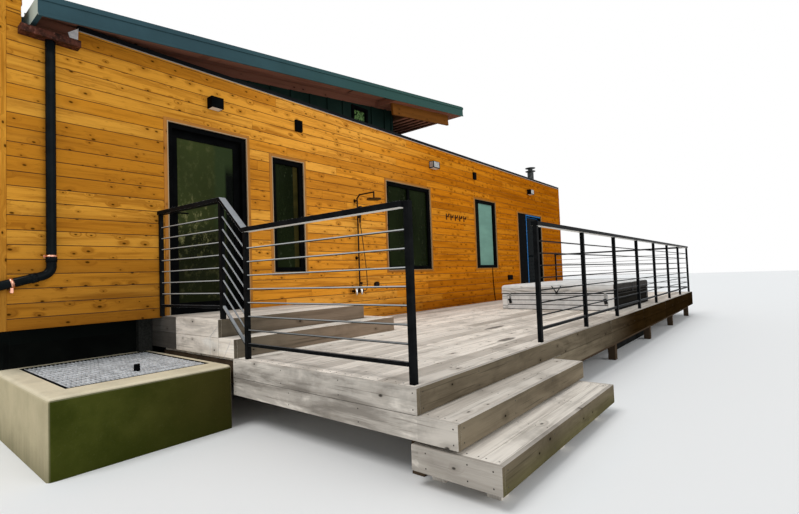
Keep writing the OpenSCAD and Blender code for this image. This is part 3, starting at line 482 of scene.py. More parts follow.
def left_end(f, cloud):
    """1 on what faces left, left of the deck, for the roof's lighter painted reflection there."""
    return f.facing()[0].band(-0.4, -0.9) * f.spot()[0].below(0.0)


def tub_front(f, cloud=None):
    """1 on the tub's front side, which is out of the sun."""
    outer = f.spot()[1].below(drawn("tub_cabinet")[0].y + 0.002)
    return (f.front() + outer).clamped()


SIDES = {"dust": sky_sheen_slopes, "bars": lit_rods, "under": rail_underside, "far": far_end, "left": left_end,
         "front": tub_front}


def edged_paint(name, colour, bright, node, width):
    """Dark paint with a bright line along the edge of a node's front."""
    colour, bright = picked(colour), picked(bright)
    f = Finish(name)
    x, y, z = f.spot()
    low, high = drawn(node)
    cloud = f.noise(f.place(), 7.0, 4.0)
    inside = x.between(low.x + width, high.x - width) * z.below(high.z - width)
    line = f.mix(cloud.band(0.3, 0.7), shade(bright, 0.8), bright)
    f.set(Base_Color=f.mix(inside, line, f.mix(cloud.band(0.3, 0.7), colour, shade(colour, 1.5))),
          Roughness=cloud * 0.2 + 0.4, Specular_IOR_Level=0.02)
    return f.bump(cloud, 0.05, 0.0006)


def concrete(name, top, side, low, moss):
    """Cast concrete: a pale top, a darker mossy foot, pits and streaks."""
    top, moss = picked(top), picked(moss)
    f = Finish(name)
    place = f.place()
    x, y, z = f.spot()
    facing = f.facing()
    cloud = f.noise(place, 3.2, 6.0, 0.62)
    grit = f.noise(place, 90.0, 4.0, 0.6)
    runs = f.noise(place, (9.0, 9.0, 0.8), 4.0, 0.6)
    body = f.mix(cloud.band(0.3, 0.72), shade(side, 0.82), side)
    # The front face is mossy and, as painted shade, far darker than the sides
    front = facing[1].band(-0.55, -0.9)
    face = f.mix(cloud.band(0.35, 0.7), low, moss)
    body = f.mix(front, body, f.layers(face, (x + cloud * 0.5, -0.9, 0.3, 0.75, (0.046, 0.036, 0.010))))
    body = f.layers(body, (z + runs * 0.25 + ORIGIN.z, 0.42, 0.05, 0.55, shade(low, 0.8)))
    body = f.mix(facing[2].band(0.25, 0.8), body, f.mix(cloud.band(0.45, 0.75), top, shade(top, 0.8)))
    body = f.mix(grit.band(0.58, 0.72) * (1.0 - front * 0.85) * 0.35, body, shade(side, 0.55))
    f.set(Base_Color=body, Roughness=grit * 0.2 + 0.72, Specular_IOR_Level=0.0)
    return f.bump(grit * 0.6 + cloud * 0.6, 0.35, 0.003)


def clear_glass(name, tint, alpha, rough=0.05, reflection_mottle=0.0):
    """Dark glass that lets a little of the room through, with a greenish painted reflection where one is
    asked for.
    """
    f = Finish(name)
    sway = f.noise(f.place(), (1.3, 1.3, 0.6), 1.0)
    body = f.mix(sway.band(0.3, 0.7), shade(tint, 0.6), shade(tint, 1.5))
    # A painted reflection of leaves, in greenish patches
    if reflection_mottle:
        leaf = f.noise(f.place(), (14.0, 14.0, 9.0), 7.0, 0.75)
        haze = f.noise(f.place(), (3.0, 3.0, 1.2), 3.0)
        body = f.mix(leaf.band(0.56, 0.78) * haze.band(0.40, 0.62) * reflection_mottle, body, (0.300, 0.340, 0.200))
    f.set(Base_Color=body, Roughness=sway * 0.02 + rough, Alpha=sway * 0.05 + alpha,
          Specular_IOR_Level=0.008)
    f.material.surface_render_method = "BLENDED"
    return f


def door_pane():
    """Olive glass of door 1, with a faint painted reflection in its middle and a green band at its right.
    """
    f = clear_glass("olive door glass", (0.034, 0.044, 0.013), 0.95)
    x, y, z = f.spot()
    body = f.colour()
    reflection_mottle = f.noise(f.place(), (16.0, 16.0, 11.0), 7.0, 0.75)
    middle = z.band(0.85, 1.15) * z.band(1.70, 1.45) * x.band(0.65, 0.50)
    body = f.layers(body, (z, 1.40, 1.10, 0.85, (0.006, 0.007, 0.003)),
                    (reflection_mottle, 0.50, 0.68, middle * 0.75 + 0.15, (0.230, 0.220, 0.090)),
                    (x, 0.62, 0.68, z.band(1.10, 1.40) * 0.75, (0.026, 0.042, 0.016)),
                    (x, 0.76, 0.80, z.band(2.05, 1.85), (0.003, 0.004, 0.003)))
    return f.set(Base_Color=body)


def window_panes():
    """Dark glass with window 1's tan jamb, frosted in window 3, with painted reflections, green in the
    small high window.
    """
    f = clear_glass("window panes", (0.010, 0.015, 0.005), 0.95, reflection_mottle=0.45)
    x, y, z = f.spot()
    start, end = OPENINGS["window_3"][:2]
    film_left, film_right = 0.240, 0.085
    frosted = x.between(start + film_left, end - film_right)
    high = z.above(2.8)
    cloud = f.noise(f.place(), (2.0, 2.0, 5.0), 4.0)
    pale = f.mix(cloud.band(0.3, 0.75), (0.160, 0.300, 0.245), (0.200, 0.370, 0.300))
    # The small high window shows a painted green reflection
    reflection_mottle = f.noise(f.place(), 26.0, 4.0, 0.7)
    greens = f.mix(reflection_mottle.band(0.42, 0.60), (0.010, 0.020, 0.008), (0.170, 0.300, 0.100))
    dark = f.mix(x.between(start - 0.1, end + 0.1) * 0.9, f.colour(), (0.001, 0.0012, 0.001))
    slim_end, jamb_width = OPENINGS["window_1"][1], 0.135
    jamb = x.between(slim_end - jamb_width, slim_end)
    dark = f.mix(jamb * (cloud.band(0.35, 0.60) * 0.6 + 0.4), dark, (0.046, 0.036, 0.009))
    body = f.mix(high, f.mix(frosted, dark, pale), greens)
    cover = Value(f, f.shader.inputs["Alpha"].links[0].from_socket)
    return f.set(Base_Color=body, Alpha=(cover + frosted * 0.1 + high * 0.1).clamped(),
                 Roughness=frosted * 0.5 + 0.06)


def wall_core(outside, inside):
    """Dark building paper behind the siding and a pale lining in the rooms."""
    f = Finish("wall core")
    place = f.place()
    x, y, z = f.spot()
    edge = 0.04
    room = (x.between(WALL_LEFT + edge, WALL_RIGHT - edge) * y.between(edge, WALL_BACK - edge)
            * z.below(ROOF_UNDER - 0.1))
    weave = f.noise(place, 60.0, 4.0)
    cloud = f.noise(place, 2.0, 4.0)
    felt = f.mix(weave.band(0.3, 0.7), shade(outside, 0.7), outside)
    lining = f.mix(cloud.band(0.3, 0.7), shade(inside, 0.93), inside)
    f.set(Base_Color=f.mix(room, felt, lining), Roughness=weave * 0.2 + 0.65)
    return f.bump(weave, 0.1, 0.001)


def laid_floor(name, light, dark, edges=None):
    """Floorboards drawn by position: they run along X, each with its own tone."""
    f = Finish(name)
    x, y, z = f.axes(f.place())
    board = 0.12
    row = f.node("ShaderNodeMath", {"operation": "FLOOR"}, {0: y / board})
    tone = f.node("ShaderNodeTexWhiteNoise", {"noise_dimensions": "1D"}, {"W": row}, out="Value")
    inside = f.node("ShaderNodeMath", {"operation": "FRACT"}, {0: y / board})
    seam = inside.band(0.03, 0.0)
    fibre = f.noise(f.vector(x * 0.8 + tone * 31.0, y * 28.0, z * 28.0), 1.0, 5.0)
    body = f.mix(tone * 0.6 + fibre * 0.5, light, dark)
    body = f.mix(seam * 0.8, body, shade(dark, 0.3))
    if edges:
        body = f.mix(f.facing()[2].band(0.4, 0.8), edges, body)
    f.set(Base_Color=body, Roughness=fibre * 0.2 + 0.45, Specular_IOR_Level=0.0)
    return f.bump(fibre * 0.4 - seam, 0.2, 0.002)


def near_black_base():
    """Near-black base with a greyer pier beside the light well."""
    f = Finish("tarred base")
    x, y, z = f.spot()
    cloud = f.noise(f.place(), 2.2, 5.0, 0.6)
    grit = f.noise(f.place(), 60.0, 3.0)
    pier = x.between(-0.262, 0.02) * y.below(0.269)
    body = f.mix(cloud.band(0.3, 0.7), (0.0030, 0.0036, 0.0034), (0.0080, 0.0090, 0.0080))
    body = f.mix(pier, body, f.mix(grit.band(0.3, 0.7), (0.022, 0.023, 0.021), (0.040, 0.040, 0.036)))
    f.set(Base_Color=body, Roughness=cloud * 0.2 + 0.75, Specular_IOR_Level=0.0)
    return f.bump(grit, 0.4, 0.002)


def copper_sheet():
    """Old copper: brown, with red patches and dark streaks."""
    f = Finish("old copper")
    place = f.place()
    cloud = f.noise(place, 17.0, 5.0, 0.7)
    spot = f.noise(place, (60.0, 60.0, 30.0), 4.0, 0.6)
    body = f.layers((0.018, 0.007, 0.004), (cloud, 0.35, 0.62, 1.0, (0.100, 0.032, 0.020)),
                    (spot, 0.56, 0.70, 0.7, (0.260, 0.110, 0.080)),
                    (spot, 0.42, 0.28, 0.6, (0.008, 0.004, 0.003)))
    f.set(Base_Color=body, Metallic=0.15, Roughness=cloud * 0.3 + 0.46, Specular_IOR_Level=0.1)
    return f.bump(spot, 0.2, 0.001)


def bright(name, colour, rough, scale=30.0):
    """Bare metal with a light brushed grain."""
    f = Finish(name)
    brush = f.noise(f.place(), (6.0, 6.0, 90.0), 3.0)
    cloud = f.noise(f.place(), scale, 3.0)
    f.set(Base_Color=f.mix(cloud.band(0.3, 0.7), shade(colour, 0.85), colour), Metallic=1.0,
          Roughness=brush * 0.15 + cloud * 0.1 + (rough - 0.12))
    return f.bump(brush, 0.05, 0.0004)


def quilted_vinyl(name, colour, front=(0.055, 0.048, 0.042)):
    """Soft vinyl with a leather grain and creases that carry painted shade, dark on the side that is out
    of the sun.
    """
    colour = picked(colour)
    f = Finish(name)
    place = f.place()
    pebble = f.node("ShaderNodeTexVoronoi", {"feature": "DISTANCE_TO_EDGE"},
                    {"Vector": place, "Scale": 260.0}, out="Distance")
    wrinkle = f.noise(place, 5.0, 5.0, 0.6, 0.6)
    dirt = f.noise(place, 2.2, 5.0, 0.65)
    body = f.mix(wrinkle.band(0.3, 0.72), shade(colour, 0.88), shade(colour, 1.08))
    fold = f.noise(place, (1.6, 1.6, 16.0), 3.0, 0.5, 0.8)
    side = 1.0 - f.facing()[2].band(0.4, 0.9) * 0.85
    crease = fold.band(0.53, 0.58) * fold.band(0.68, 0.60) * side
    body = f.layers(body, (dirt, 0.55, 0.8, 0.25, shade(colour, 0.62)))
    # Painted shade in the creases, less on top
    body = f.mix(crease * 0.6, body, shade(colour, 0.36))
    body = f.tinted(tub_front(f), body, front)
    f.set(Base_Color=body, Roughness=wrinkle * 0.15 + 0.48, Specular_IOR_Level=0.02)
    return f.bump(wrinkle * 1.2 + pebble.band(0.0, 0.12) * 0.25 - crease, 0.35, 0.004)


# Each material's maker and what it is given. After its name a timber has its light, pale and dark
# colour and its knots, and a paint its colour, roughness, wear, scale of the clouds, bump and gloss
PLAIN = (1.0, 1.0, 1.0)
MAKERS = {
    # Cedar, trim and edging get painted light on the front: brightest in the middle of the wall, darker
    # and more orange to the right
    "cedar": (timber, "oiled cedar", "honey", "straw", "russet", 0.8,
              dict(streaks=0.85, spread=0.7, sheen=0.0, flecks=0.45,
                   tints=((1.08, 1.16, 0.95), (0.2, 2.4, (1.42, 1.48, 1.35)),
                          (3.2, 5.6, (1.06, 0.90, 0.34)), (6.4, 10.5, (0.74, 0.56, 0.12))))),
    "trim": (timber, "cedar trim", (0.500, 0.210, 0.045), (0.560, 0.270, 0.080), (0.280, 0.105, 0.020),
             0.3, dict(sheen=0.0, tints=(PLAIN, (3.2, 6.0, (0.90, 0.78, 0.42))))),
    "edging": (timber, "pale edging", (0.520, 0.370, 0.220), (0.600, 0.450, 0.290),
               (0.360, 0.220, 0.110), 0.1,
               dict(streaks=0.3, sheen=0.0, tints=(PLAIN, (3.2, 6.0, (0.62, 0.50, 0.32))))),
    "deck": (timber, "weathered decking", "silver", ("silver", 1.2), "driftwood", 0.2,
             dict(streaks=0.6, weather=0.42, rough=0.8, spread=1.0,
                  marks=((2.72, -2.305, 0.24, 0.045), (1.92, -2.85, 0.18, 0.05)))),
    "skirt": (timber, "weathered fascia boards", ("silver", 0.72), ("silver", 0.90),
              ("driftwood", 0.62), 0.2,
              dict(weather=0.4, rough=0.8, sheen=0.0, shaded=(0.36, 0.32, 0.25), clouds=0.85)),
    # A lighter copy of the fascia boards, as painted light on the landing's sides; their fronts get
    # painted shade
    "skirt_sunlit": (timber, "pale side boards", ("silver", 1.1), ("silver", 1.2), ("driftwood", 0.95),
                   0.2, dict(weather=0.35, rough=0.8, sheen=0.0, shaded=(0.23, 0.20, 0.165),
                             clouds=0.5, tints=((1.35, 1.25, 1.22),))),
    # A near-black copy of the fascia boards, as a painted shadow on the landing's side
    "skirt_shadowed": (timber, "damp fascia boards", ("silver", 0.15), ("silver", 0.20),
                   ("driftwood", 0.12), 0.2, dict(weather=0.4, rough=0.7, sheen=0.1)),
    "soffit": (timber, "stained soffit", "soffit", ("soffit", 1.5), ("soffit", 0.5), 0.3),
    "beam": (timber, "stained beam", "beam", ("beam", 1.5), ("beam", 0.45), 0.3),
    "closer": (timber, "shaded closers", ("soffit", 0.45), ("soffit", 0.7), ("soffit", 0.2), 0.3),
    "purlin": (timber, "dark purlin", (0.110, 0.052, 0.024), (0.160, 0.080, 0.040),
               (0.040, 0.018, 0.010), 0.2),
    # The black metal's named sides: a painted sky reflection on slopes, painted highlights on the rods and
    # a pale painted highlight under the top rails
    "metal": (painted, "black metal", "metal", 0.38, 0.25, 12.0, 0.06, 0.012,
              dict(dust=(0.330, 0.345, 0.360), bars=(0.480, 0.490, 0.480), under=(0.750, 0.750, 0.720))),
    "frames": (painted, "black frames", ("metal", 0.5), 0.5, 0.25, 8.0, 0.05, 0.005),
    "pipe": (painted, "glossy black pipe", (0.005, 0.007, 0.008), 0.22, 0.2, 7.0, 0.03, 0.035),
    # The roof's faces that look left get a lighter painted reflection
    "roof": (painted, "blue grey metal", "roof", 0.5, 0.10, 1.6, 0.04, 0.05,
             dict(far=(0.030, 0.082, 0.070), left=(0.420, 0.490, 0.430))),
    "membrane": (painted, "roof membrane", (0.17, 0.17, 0.165), 0.85, 0.09, 2.6, 0.3),
    "panel": (painted, "dark green panel", "panel", 0.55, 0.15, 2.5, 0.08, 0.02),
    "cap": (painted, "black cap", (0.008, 0.009, 0.010), 0.45, 0.2, 3.0, 0.04, 0.03),
    "drip": (painted, "pale drip edge", (0.40, 0.39, 0.36), 0.45, 0.1, 5.0, 0.05, dict(metallic=0.1)),
    "flashing": (painted, "pale flashing", (0.90, 0.92, 0.94), 0.4, 0.15, 30.0, 0.05),
    "grate": (painted, "galvanised grate", (0.620, 0.630, 0.640), 0.5, 0.2, 14.0, 0.1, 0.1),
    "blue_line": (painted, "blue paint", "door", 0.4, 0.2, 30.0, 0.05, 0.05),
    "lamp_front": (painted, "pale lamp front", (0.460, 0.450, 0.430), 0.5, 0.2, 25.0, 0.05, 0.1),
    "buckle": (painted, "black buckles", (0.010, 0.010, 0.011), 0.5, 0.2, 40.0, 0.05, 0.1),
    "flue": (painted, "flue steel", (0.070, 0.076, 0.074), 0.5, 0.4, 14.0, 0.05, 0.05,
             dict(metallic=0.2)),
    "rust_brown": (painted, "rust brown iron", (0.045, 0.015, 0.009), 0.5, 0.3, 40.0, 0.1, 0.02),
    "bronze": (painted, "dark bronze", (0.016, 0.010, 0.007), 0.4, 0.3, 20.0, 0.05, 0.05),
    "lens": (painted, "frosted lens", (0.78, 0.77, 0.72), 0.3, 0.05, 6.0, 0.02),
    "tub_panel": (painted, "grey tub panel", (0.600, 0.600, 0.590), 0.5, 0.10, 6.0, 0.1, 0.0,
                  dict(front=(0.020, 0.018, 0.015))),
    # Dark grey, as painted shade in the tub's joints
    "tub_shade": (painted, "tub joint", (0.016, 0.016, 0.015), 0.6, 0.15, 6.0, 0.1, 0.0),
    "screw": (painted, "screw heads", (0.025, 0.020, 0.017), 0.5, 0.3, 200.0, 0.1, dict(metallic=0.4)),
    "hose": (painted, "dark hose braid", (0.020, 0.013, 0.009), 0.4, 0.3, 400.0, 0.2, 0.1),
    "blue": (edged_paint, "black paint with a blue edge", ("metal", 0.9), "door", "door_2_leaf", 0.026),
    "frame_timber": (laid_floor, "framing timber", (0.090, 0.062, 0.040), (0.050, 0.034, 0.022)),
    "floorboards": (laid_floor, "floorboards", (0.42, 0.25, 0.12), (0.24, 0.13, 0.06),
                    (0.005, 0.0065, 0.006)),
    "core": (wall_core, (0.020, 0.012, 0.007), (0.62, 0.60, 0.56)),
    "base": (near_black_base,),
    "well": (concrete, "well concrete", "rim", (0.520, 0.450, 0.290), (0.034, 0.042, 0.006), "moss"),
    "chrome": (bright, "chrome", (0.80, 0.80, 0.80), 0.16),
    "strap": (bright, "bright copper", (0.78, 0.40, 0.28), 0.32),
    "copper": (copper_sheet,),
    "glass": (window_panes,),
    "door_glass": (door_pane,),
    "dark_glass": (clear_glass, "dark door glass", (0.003, 0.006, 0.007), 0.95, 0.05, 0.1),
    "vinyl": (quilted_vinyl, "cover vinyl", "vinyl"),
    "vinyl_dark": (quilted_vinyl, "cover straps", ("vinyl", 0.45)),
}


# Geometry Nodes


class Tree:
    """A Geometry Nodes tree with named inputs."""

    def __init__(self, name):
        self.tree = bpy.data.node_groups.new(name, "GeometryNodeTree")
        self.tree.interface.new_socket(name="Geometry", in_out="INPUT", socket_type="NodeSocketGeometry")
        self.tree.interface.new_socket(name="Geometry", in_out="OUTPUT", socket_type="NodeSocketGeometry")
        self.entry = self.tree.nodes.new("NodeGroupInput")
        self.exit = self.tree.nodes.new("NodeGroupOutput")

    def vector(self, *parts):
        return self.node("ShaderNodeCombineXYZ", None, dict(enumerate(parts)))

    def input(self, name, kind):
        self.tree.interface.new_socket(name=name, in_out="INPUT", socket_type="NodeSocket" + kind)
        return self.entry.outputs[name]

    def node(self, kind, settings=None, sockets=None):
        made = self.tree.nodes.new(kind)
        for key, value in (settings or {}).items():
            setattr(made, key, value)
        for key, value in (sockets or {}).items():
            if isinstance(value, bpy.types.NodeSocket):
                self.tree.links.new(value, made.inputs[key])
            else:
                made.inputs[key].default_value = value
        return made.outputs[0] if made.outputs else None

    def math(self, operation, *terms):
        return self.node("ShaderNodeVectorMath", {"operation": operation}, dict(enumerate(terms)))

    def named(self, name, kind="FLOAT_VECTOR"):
        return self.node("GeometryNodeInputNamedAttribute", {"data_type": kind}, {"Name": name})

    def store(self, geometry, name, value, kind="FLOAT_VECTOR", domain="POINT"):
        return self.node("GeometryNodeStoreNamedAttribute", {"data_type": kind, "domain": domain},
                         {"Geometry": geometry, "Name": name, "Value": value})

    def close(self, geometry, material):
        whole = self.node("GeometryNodeRealizeInstances", None, {"Geometry": geometry})
        done = self.node("GeometryNodeSetMaterial", None, {"Geometry": whole, "Material": material})
        self.tree.links.new(done, self.exit.inputs["Geometry"])


def board_tree():
    """Lays a board with eased edges at every point, with its size, turn and run from the point."""
    t = Tree("Laid boards")
    points = t.entry.outputs["Geometry"]
    edge = t.input("Edge", "Float")
    seed = t.input("Seed", "Int")
    material = t.input("Material", "Material")
    pick = t.node("FunctionNodeRandomValue", {"data_type": "FLOAT"}, {"Seed": seed})
    pick = [s for s in pick.node.outputs if s.enabled and s.type == "VALUE"][0]
    points = t.store(points, "pick", pick, "FLOAT")
    points = t.store(points, "centre", t.node("GeometryNodeInputPosition"))
    cube = t.node("GeometryNodeMeshCube", None, {"Size": (1, 1, 1), "Vertices X": 4, "Vertices Y": 4,
                                                 "Vertices Z": 4})
    cube = t.store(cube, "unit", t.node("GeometryNodeInputPosition"))
    boards = t.node("GeometryNodeInstanceOnPoints", None, {"Points": points, "Instance": cube})
    boards = t.node("GeometryNodeRealizeInstances", None, {"Geometry": boards})
    unit = t.named("unit")
    sign = t.math("SIGN", unit)
    outer = t.math("FLOOR", t.math("ADD", t.math("ABSOLUTE", unit), (0.51, 0.51, 0.51)))
    half = t.math("SCALE", t.named("size"))
    half.node.inputs["Scale"].default_value = 0.5
    edges = t.vector(edge, edge, edge)
    core = t.math("MULTIPLY", sign, t.math("SUBTRACT", half, edges))
    lip = t.math("MULTIPLY", t.math("NORMALIZE", t.math("MULTIPLY", sign, outer)), edges)
    local = t.math("ADD", core, lip)
    turned = t.node("ShaderNodeVectorRotate", {"rotation_type": "EULER_XYZ"},
                    {"Vector": local, "Rotation": t.named("turn")})
    boards = t.node("GeometryNodeSetPosition", None,
                    {"Geometry": boards, "Position": t.math("ADD", t.named("centre"), turned)})
    run, width = t.named("run"), t.named("width")
    parts = []
    for axis in (run, width, t.math("CROSS_PRODUCT", run, width)):
        dot = t.node("ShaderNodeVectorMath", {"operation": "DOT_PRODUCT"}, {0: local, 1: axis})
        parts.append(dot.node.outputs["Value"])
    tone = t.named("pick", "FLOAT")
    shift = t.math("SCALE", (0, 0, 0))
    shift.node.inputs[0].default_value = (371.0, 113.0, 57.0)
    t.tree.links.new(tone, shift.node.inputs["Scale"])
    boards = t.store(boards, "grain", t.math("ADD", t.vector(*parts), shift), domain="CORNER")
    boards = t.store(boards, "tone", tone, "FLOAT", "FACE")
    t.close(boards, material)
    return t.tree


def stud_tree():
    """Sets a small round head at every point, turned to face the way the point says."""
    t = Tree("Round heads")
    points = t.entry.outputs["Geometry"]
    diameter = t.input("Diameter", "Float")
    height = t.input("Height", "Float")
    material = t.input("Material", "Material")
    radius = t.node("ShaderNodeMath", {"operation": "MULTIPLY"}, {0: diameter, 1: 0.5})
    head = t.node("GeometryNodeMeshCylinder", None, {"Vertices": 8, "Radius": radius, "Depth": height})
    heads = t.node("GeometryNodeInstanceOnPoints", None, {"Points": points, "Instance": head,
                                                          "Rotation": t.named("turn")})
    t.close(heads, material)
    return t.tree


TREES = {}


def tree(name):
    """A node tree by name, made when it is first used."""
    if name not in TREES:
        TREES[name] = {"boards": board_tree, "heads": stud_tree}[name]()
    return TREES[name]


# Making pieces


def placed(name, data):
    """A new object in the scene."""
    made = bpy.data.objects.new(name, data)
    bpy.context.scene.collection.objects.link(made)
    return made


def mesh_of(shape, name):
    """The mesh of a shape, which is freed."""
    mesh = bpy.data.meshes.new(name)
    shape.to_mesh(mesh)
    shape.free()
    return mesh


def own(name, mesh, material=None, slot=None, body="cabin", replaces=(), moved=True):
    """Makes an object of a mesh that is drawn from the deck's corner, and gives it to a body."""
    if moved:
        mesh.transform(Matrix.Translation(ORIGIN))
    made = placed(name, mesh)
    if material:
        mesh.materials.clear()
        mesh.materials.append(finish(material))
    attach(made, body)
    if replaces:
        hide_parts(*replaces)
    return made


def evaluated(made):
    """The object's mesh with its modifiers applied, and the object removed."""
    bpy.context.view_layer.update()
    depsgraph = bpy.context.evaluated_depsgraph_get()
    mesh = bpy.data.meshes.new_from_object(made.evaluated_get(depsgraph), depsgraph=depsgraph)
    bpy.data.objects.remove(made)
    return mesh


def run_tree(name, mesh, **inputs):
    """An object of points with a Geometry Nodes tree on it."""
    made = placed("points", mesh)
    modifier = made.modifiers.new("nodes", "NODES")
    modifier.node_group = tree(name)
    for item in modifier.node_group.interface.items_tree:
        if item.in_out == "INPUT" and item.name in inputs:
            modifier[item.identifier] = inputs[item.name]
    return made


def store_vectors(mesh, name, rows):
    """Gives the points of a mesh one vector each."""
    layer = mesh.attributes.new(name, "FLOAT_VECTOR", "POINT")
    layer.data.foreach_set("vector", [part for row in rows for part in row])


class Boards:
    """Boards of one piece. Each is a box with its low and high corner, and the way its grain runs."""

    def __init__(self):
        self.rows = []

    def add(self, low, high, run=X, turn=(0, 0, 0)):
        low, high = Vector(low), Vector(high)
        wide = max((X, Y, Z), key=lambda axis: 0 if axis.dot(run) else abs(axis.dot(high - low)))
        self.rows.append(((low + high) / 2, high - low, run, wide, Vector(turn)))
        return self

    def sloped(self, start, end, depth, width, run=X):
        """A board from one point to another in a plane of constant Y, hung below the line."""
        start, end = Vector(start), Vector(end)
        angle = math.atan2(end.z - start.z, end.x - start.x)
        length = (end - start).length
        centre = (start + end) / 2 - Vector((-math.sin(angle), 0, math.cos(angle))) * depth / 2
        self.rows.append((centre, Vector((length, width, depth)), run, Z, Vector((0, -angle, 0))))
        return self

    def pitched(self, x0, x1, y, lift, depth, width):
        """A board that slopes with the shed roof, its top lifted from the roof's underside."""
        return self.sloped((x0, y, under_roof(x0) + lift), (x1, y, under_roof(x1) + lift), depth, width)

    def lay(self, name, material, slot, edge=0.0025, seed=0, cut=(), body="cabin", replaces=()):
        """Makes the piece. Each group in cut is a list of shapes that don't touch each other."""
        mesh = bpy.data.meshes.new(name)
        mesh.from_pydata([row[0] for row in self.rows], [], [])
        for key, column in (("size", 1), ("run", 2), ("width", 3), ("turn", 4)):
            store_vectors(mesh, key, [row[column] for row in self.rows])
        made = run_tree("boards", mesh, Edge=edge, Seed=sizes().seed + seed, Material=finish(material))
        cutters = [solid_cutter(group) for group in cut]
        for cutter in cutters:
            boolean = made.modifiers.new("cut", "BOOLEAN")
            boolean.operation, boolean.solver, boolean.object = "DIFFERENCE", "EXACT", cutter
        result = evaluated(made)
        for cutter in cutters:
            bpy.data.objects.remove(cutter)
        for key in [a.name for a in result.attributes if a.name in (
                "size", "run", "width", "turn", "pick", "centre", "unit")]:
            result.attributes.remove(result.attributes[key])
        return own(name, result, slot=slot, body=body, replaces=replaces)


def solid_cutter(shapes):
    """One object of boxes, given by two corners, and of plates."""
    shape = bmesh.new()
    for item in shapes:
        if len(item) == 2:
            low, high = Vector(item[0]), Vector(item[1])
            for v in bmesh.ops.create_cube(shape, size=1.0)["verts"]:
                v.co = Vector(((low[i] + high[i]) / 2 + v.co[i] * (high[i] - low[i]) for i in range(3)))
        else:
            plate(shape, *item)
    bmesh.ops.recalc_face_normals(shape, faces=shape.faces)
    return placed("cutter", mesh_of(shape, "cutter"))


def plate(shape, outline, a, b, across="y"):
    """A plate drawn in X and Z between two values of Y, or drawn in Y and Z between two of X."""
    place = {"y": lambda u, v, w: (u, w, v), "x": lambda u, v, w: (w, u, v)}[across]
    near = [shape.verts.new(place(u, v, a)) for u, v in outline]
    far = [shape.verts.new(place(u, v, b)) for u, v in outline]
    shape.faces.new(near)
    shape.faces.new(far[::-1])
    for i in range(len(outline)):
        j = (i + 1) % len(outline)
        shape.faces.new((near[j], near[i], far[i], far[j]))


def kerf(start, end, face, width=0.005, depth=0.012):
    """A thin groove between two points in Y and Z, cut into a face of constant X."""
    a, b = Vector(start), Vector(end)
    side = Vector((a.y - b.y, b.x - a.x)).normalized() * width / 2
    return ([a - side, b - side, b + side, a + side], face - depth, face + depth, "x")


def heads(name, points, diameter, height, material, slot, body="cabin"):
    """Small round heads, each at a point and facing along an axis."""
    mesh = bpy.data.meshes.new(name)
    mesh.from_pydata([p for p, _ in points], [], [])
    store_vectors(mesh, "turn", [axis.to_track_quat("Z", "Y").to_euler() for _, axis in points])
    made = run_tree("heads", mesh, Diameter=diameter, Height=height, Material=finish(material))
    result = evaluated(made)
    if "turn" in result.attributes:
        result.attributes.remove(result.attributes["turn"])
    return own(name, result, slot=slot, body=body)


def dress(material, *nodes):
    """Gives CAD nodes a material."""
    for node in nodes:
        made = NODES[node]
        if not made.data.materials:
            made.data.materials.append(finish(material))
        for place in made.material_slots:
            place.material = finish(material)


def softened(node, name, material, slot, width, segments=2, body="cabin", angle=30.0, chosen=None):
    """A copy of a CAD node with its edges rounded, or only the chosen ones, which stands for it."""
    shape = bmesh.new()
    shape.from_mesh(NODES[node].data)
    bmesh.ops.remove_doubles(shape, verts=shape.verts, dist=1e-5)
    bmesh.ops.dissolve_limit(shape, angle_limit=math.radians(1), verts=shape.verts, edges=shape.edges)
    if chosen:
        weight = shape.edges.layers.float.new("bevel_weight_edge")
        for edge in shape.edges:
            edge[weight] = float(chosen(*(v.co - ORIGIN for v in edge.verts)))
    mesh = mesh_of(shape, name)
    mesh.materials.clear()
    made = placed("copy", mesh)
    bevel = made.modifiers.new("edges", "BEVEL")
    bevel.width, bevel.segments, bevel.limit_method = width, segments, "WEIGHT" if chosen else "ANGLE"
    bevel.angle_limit, bevel.use_clamp_overlap = math.radians(angle), True
    result = evaluated(made)
    return own(name, result, material, slot, body, (node,), moved=False)


def tube_mesh(name, path, radius, sides=16):
    """A round tube with closed ends, its rings square to the path and of one radius or one each."""
    shape = bmesh.new()
    points = [Vector(p) for p in path]
    radii = radius if isinstance(radius, list) else [radius] * len(points)
    rings = []
    up = None
    for i, (point, r) in enumerate(zip(points, radii)):
        heading = (points[min(i + 1, len(points) - 1)] - points[max(i - 1, 0)]).normalized()
        if up is None:
            up = heading.orthogonal().normalized()
        up = (up - heading * up.dot(heading)).normalized()
        side = heading.cross(up)
        rings.append([shape.verts.new(point + r * (math.cos(a) * up + math.sin(a) * side))
                      for a in (2 * math.pi * k / sides for k in range(sides))])
    for a, b in zip(rings, rings[1:]):
        for k in range(sides):
            shape.faces.new((a[k], a[(k + 1) % sides], b[(k + 1) % sides], b[k]))
    shape.faces.new(rings[0][::-1])
    shape.faces.new(rings[-1])
    for f in shape.faces:
        f.smooth = len(f.verts) == 4
    return mesh_of(shape, name)


def rounded_path(corners, radius, steps=8):
    """Points of a path through corners, each turned on an arc."""
    corners = [Vector(c) for c in corners]
    path = [corners[0]]
    for before, corner, after in zip(corners, corners[1:], corners[2:]):
        a, b = (before - corner).normalized(), (after - corner).normalized()
        half = a.angle(b) / 2
        reach = radius / math.tan(half)
        start, end = corner + a * reach, corner + b * reach
        middle = corner + (a + b).normalized() * (radius / math.sin(half))
        for k in range(steps + 1):
            spoke = (start - middle).normalized().slerp((end - middle).normalized(), k / steps)
            path.append(middle + spoke * radius)
    path.append(corners[-1])
    return path


def join(name, meshes):
    """One mesh of several."""
    shape = bmesh.new()
    for mesh in meshes:
        shape.from_mesh(mesh)
    return mesh_of(shape, name)


# Camera, light and stage


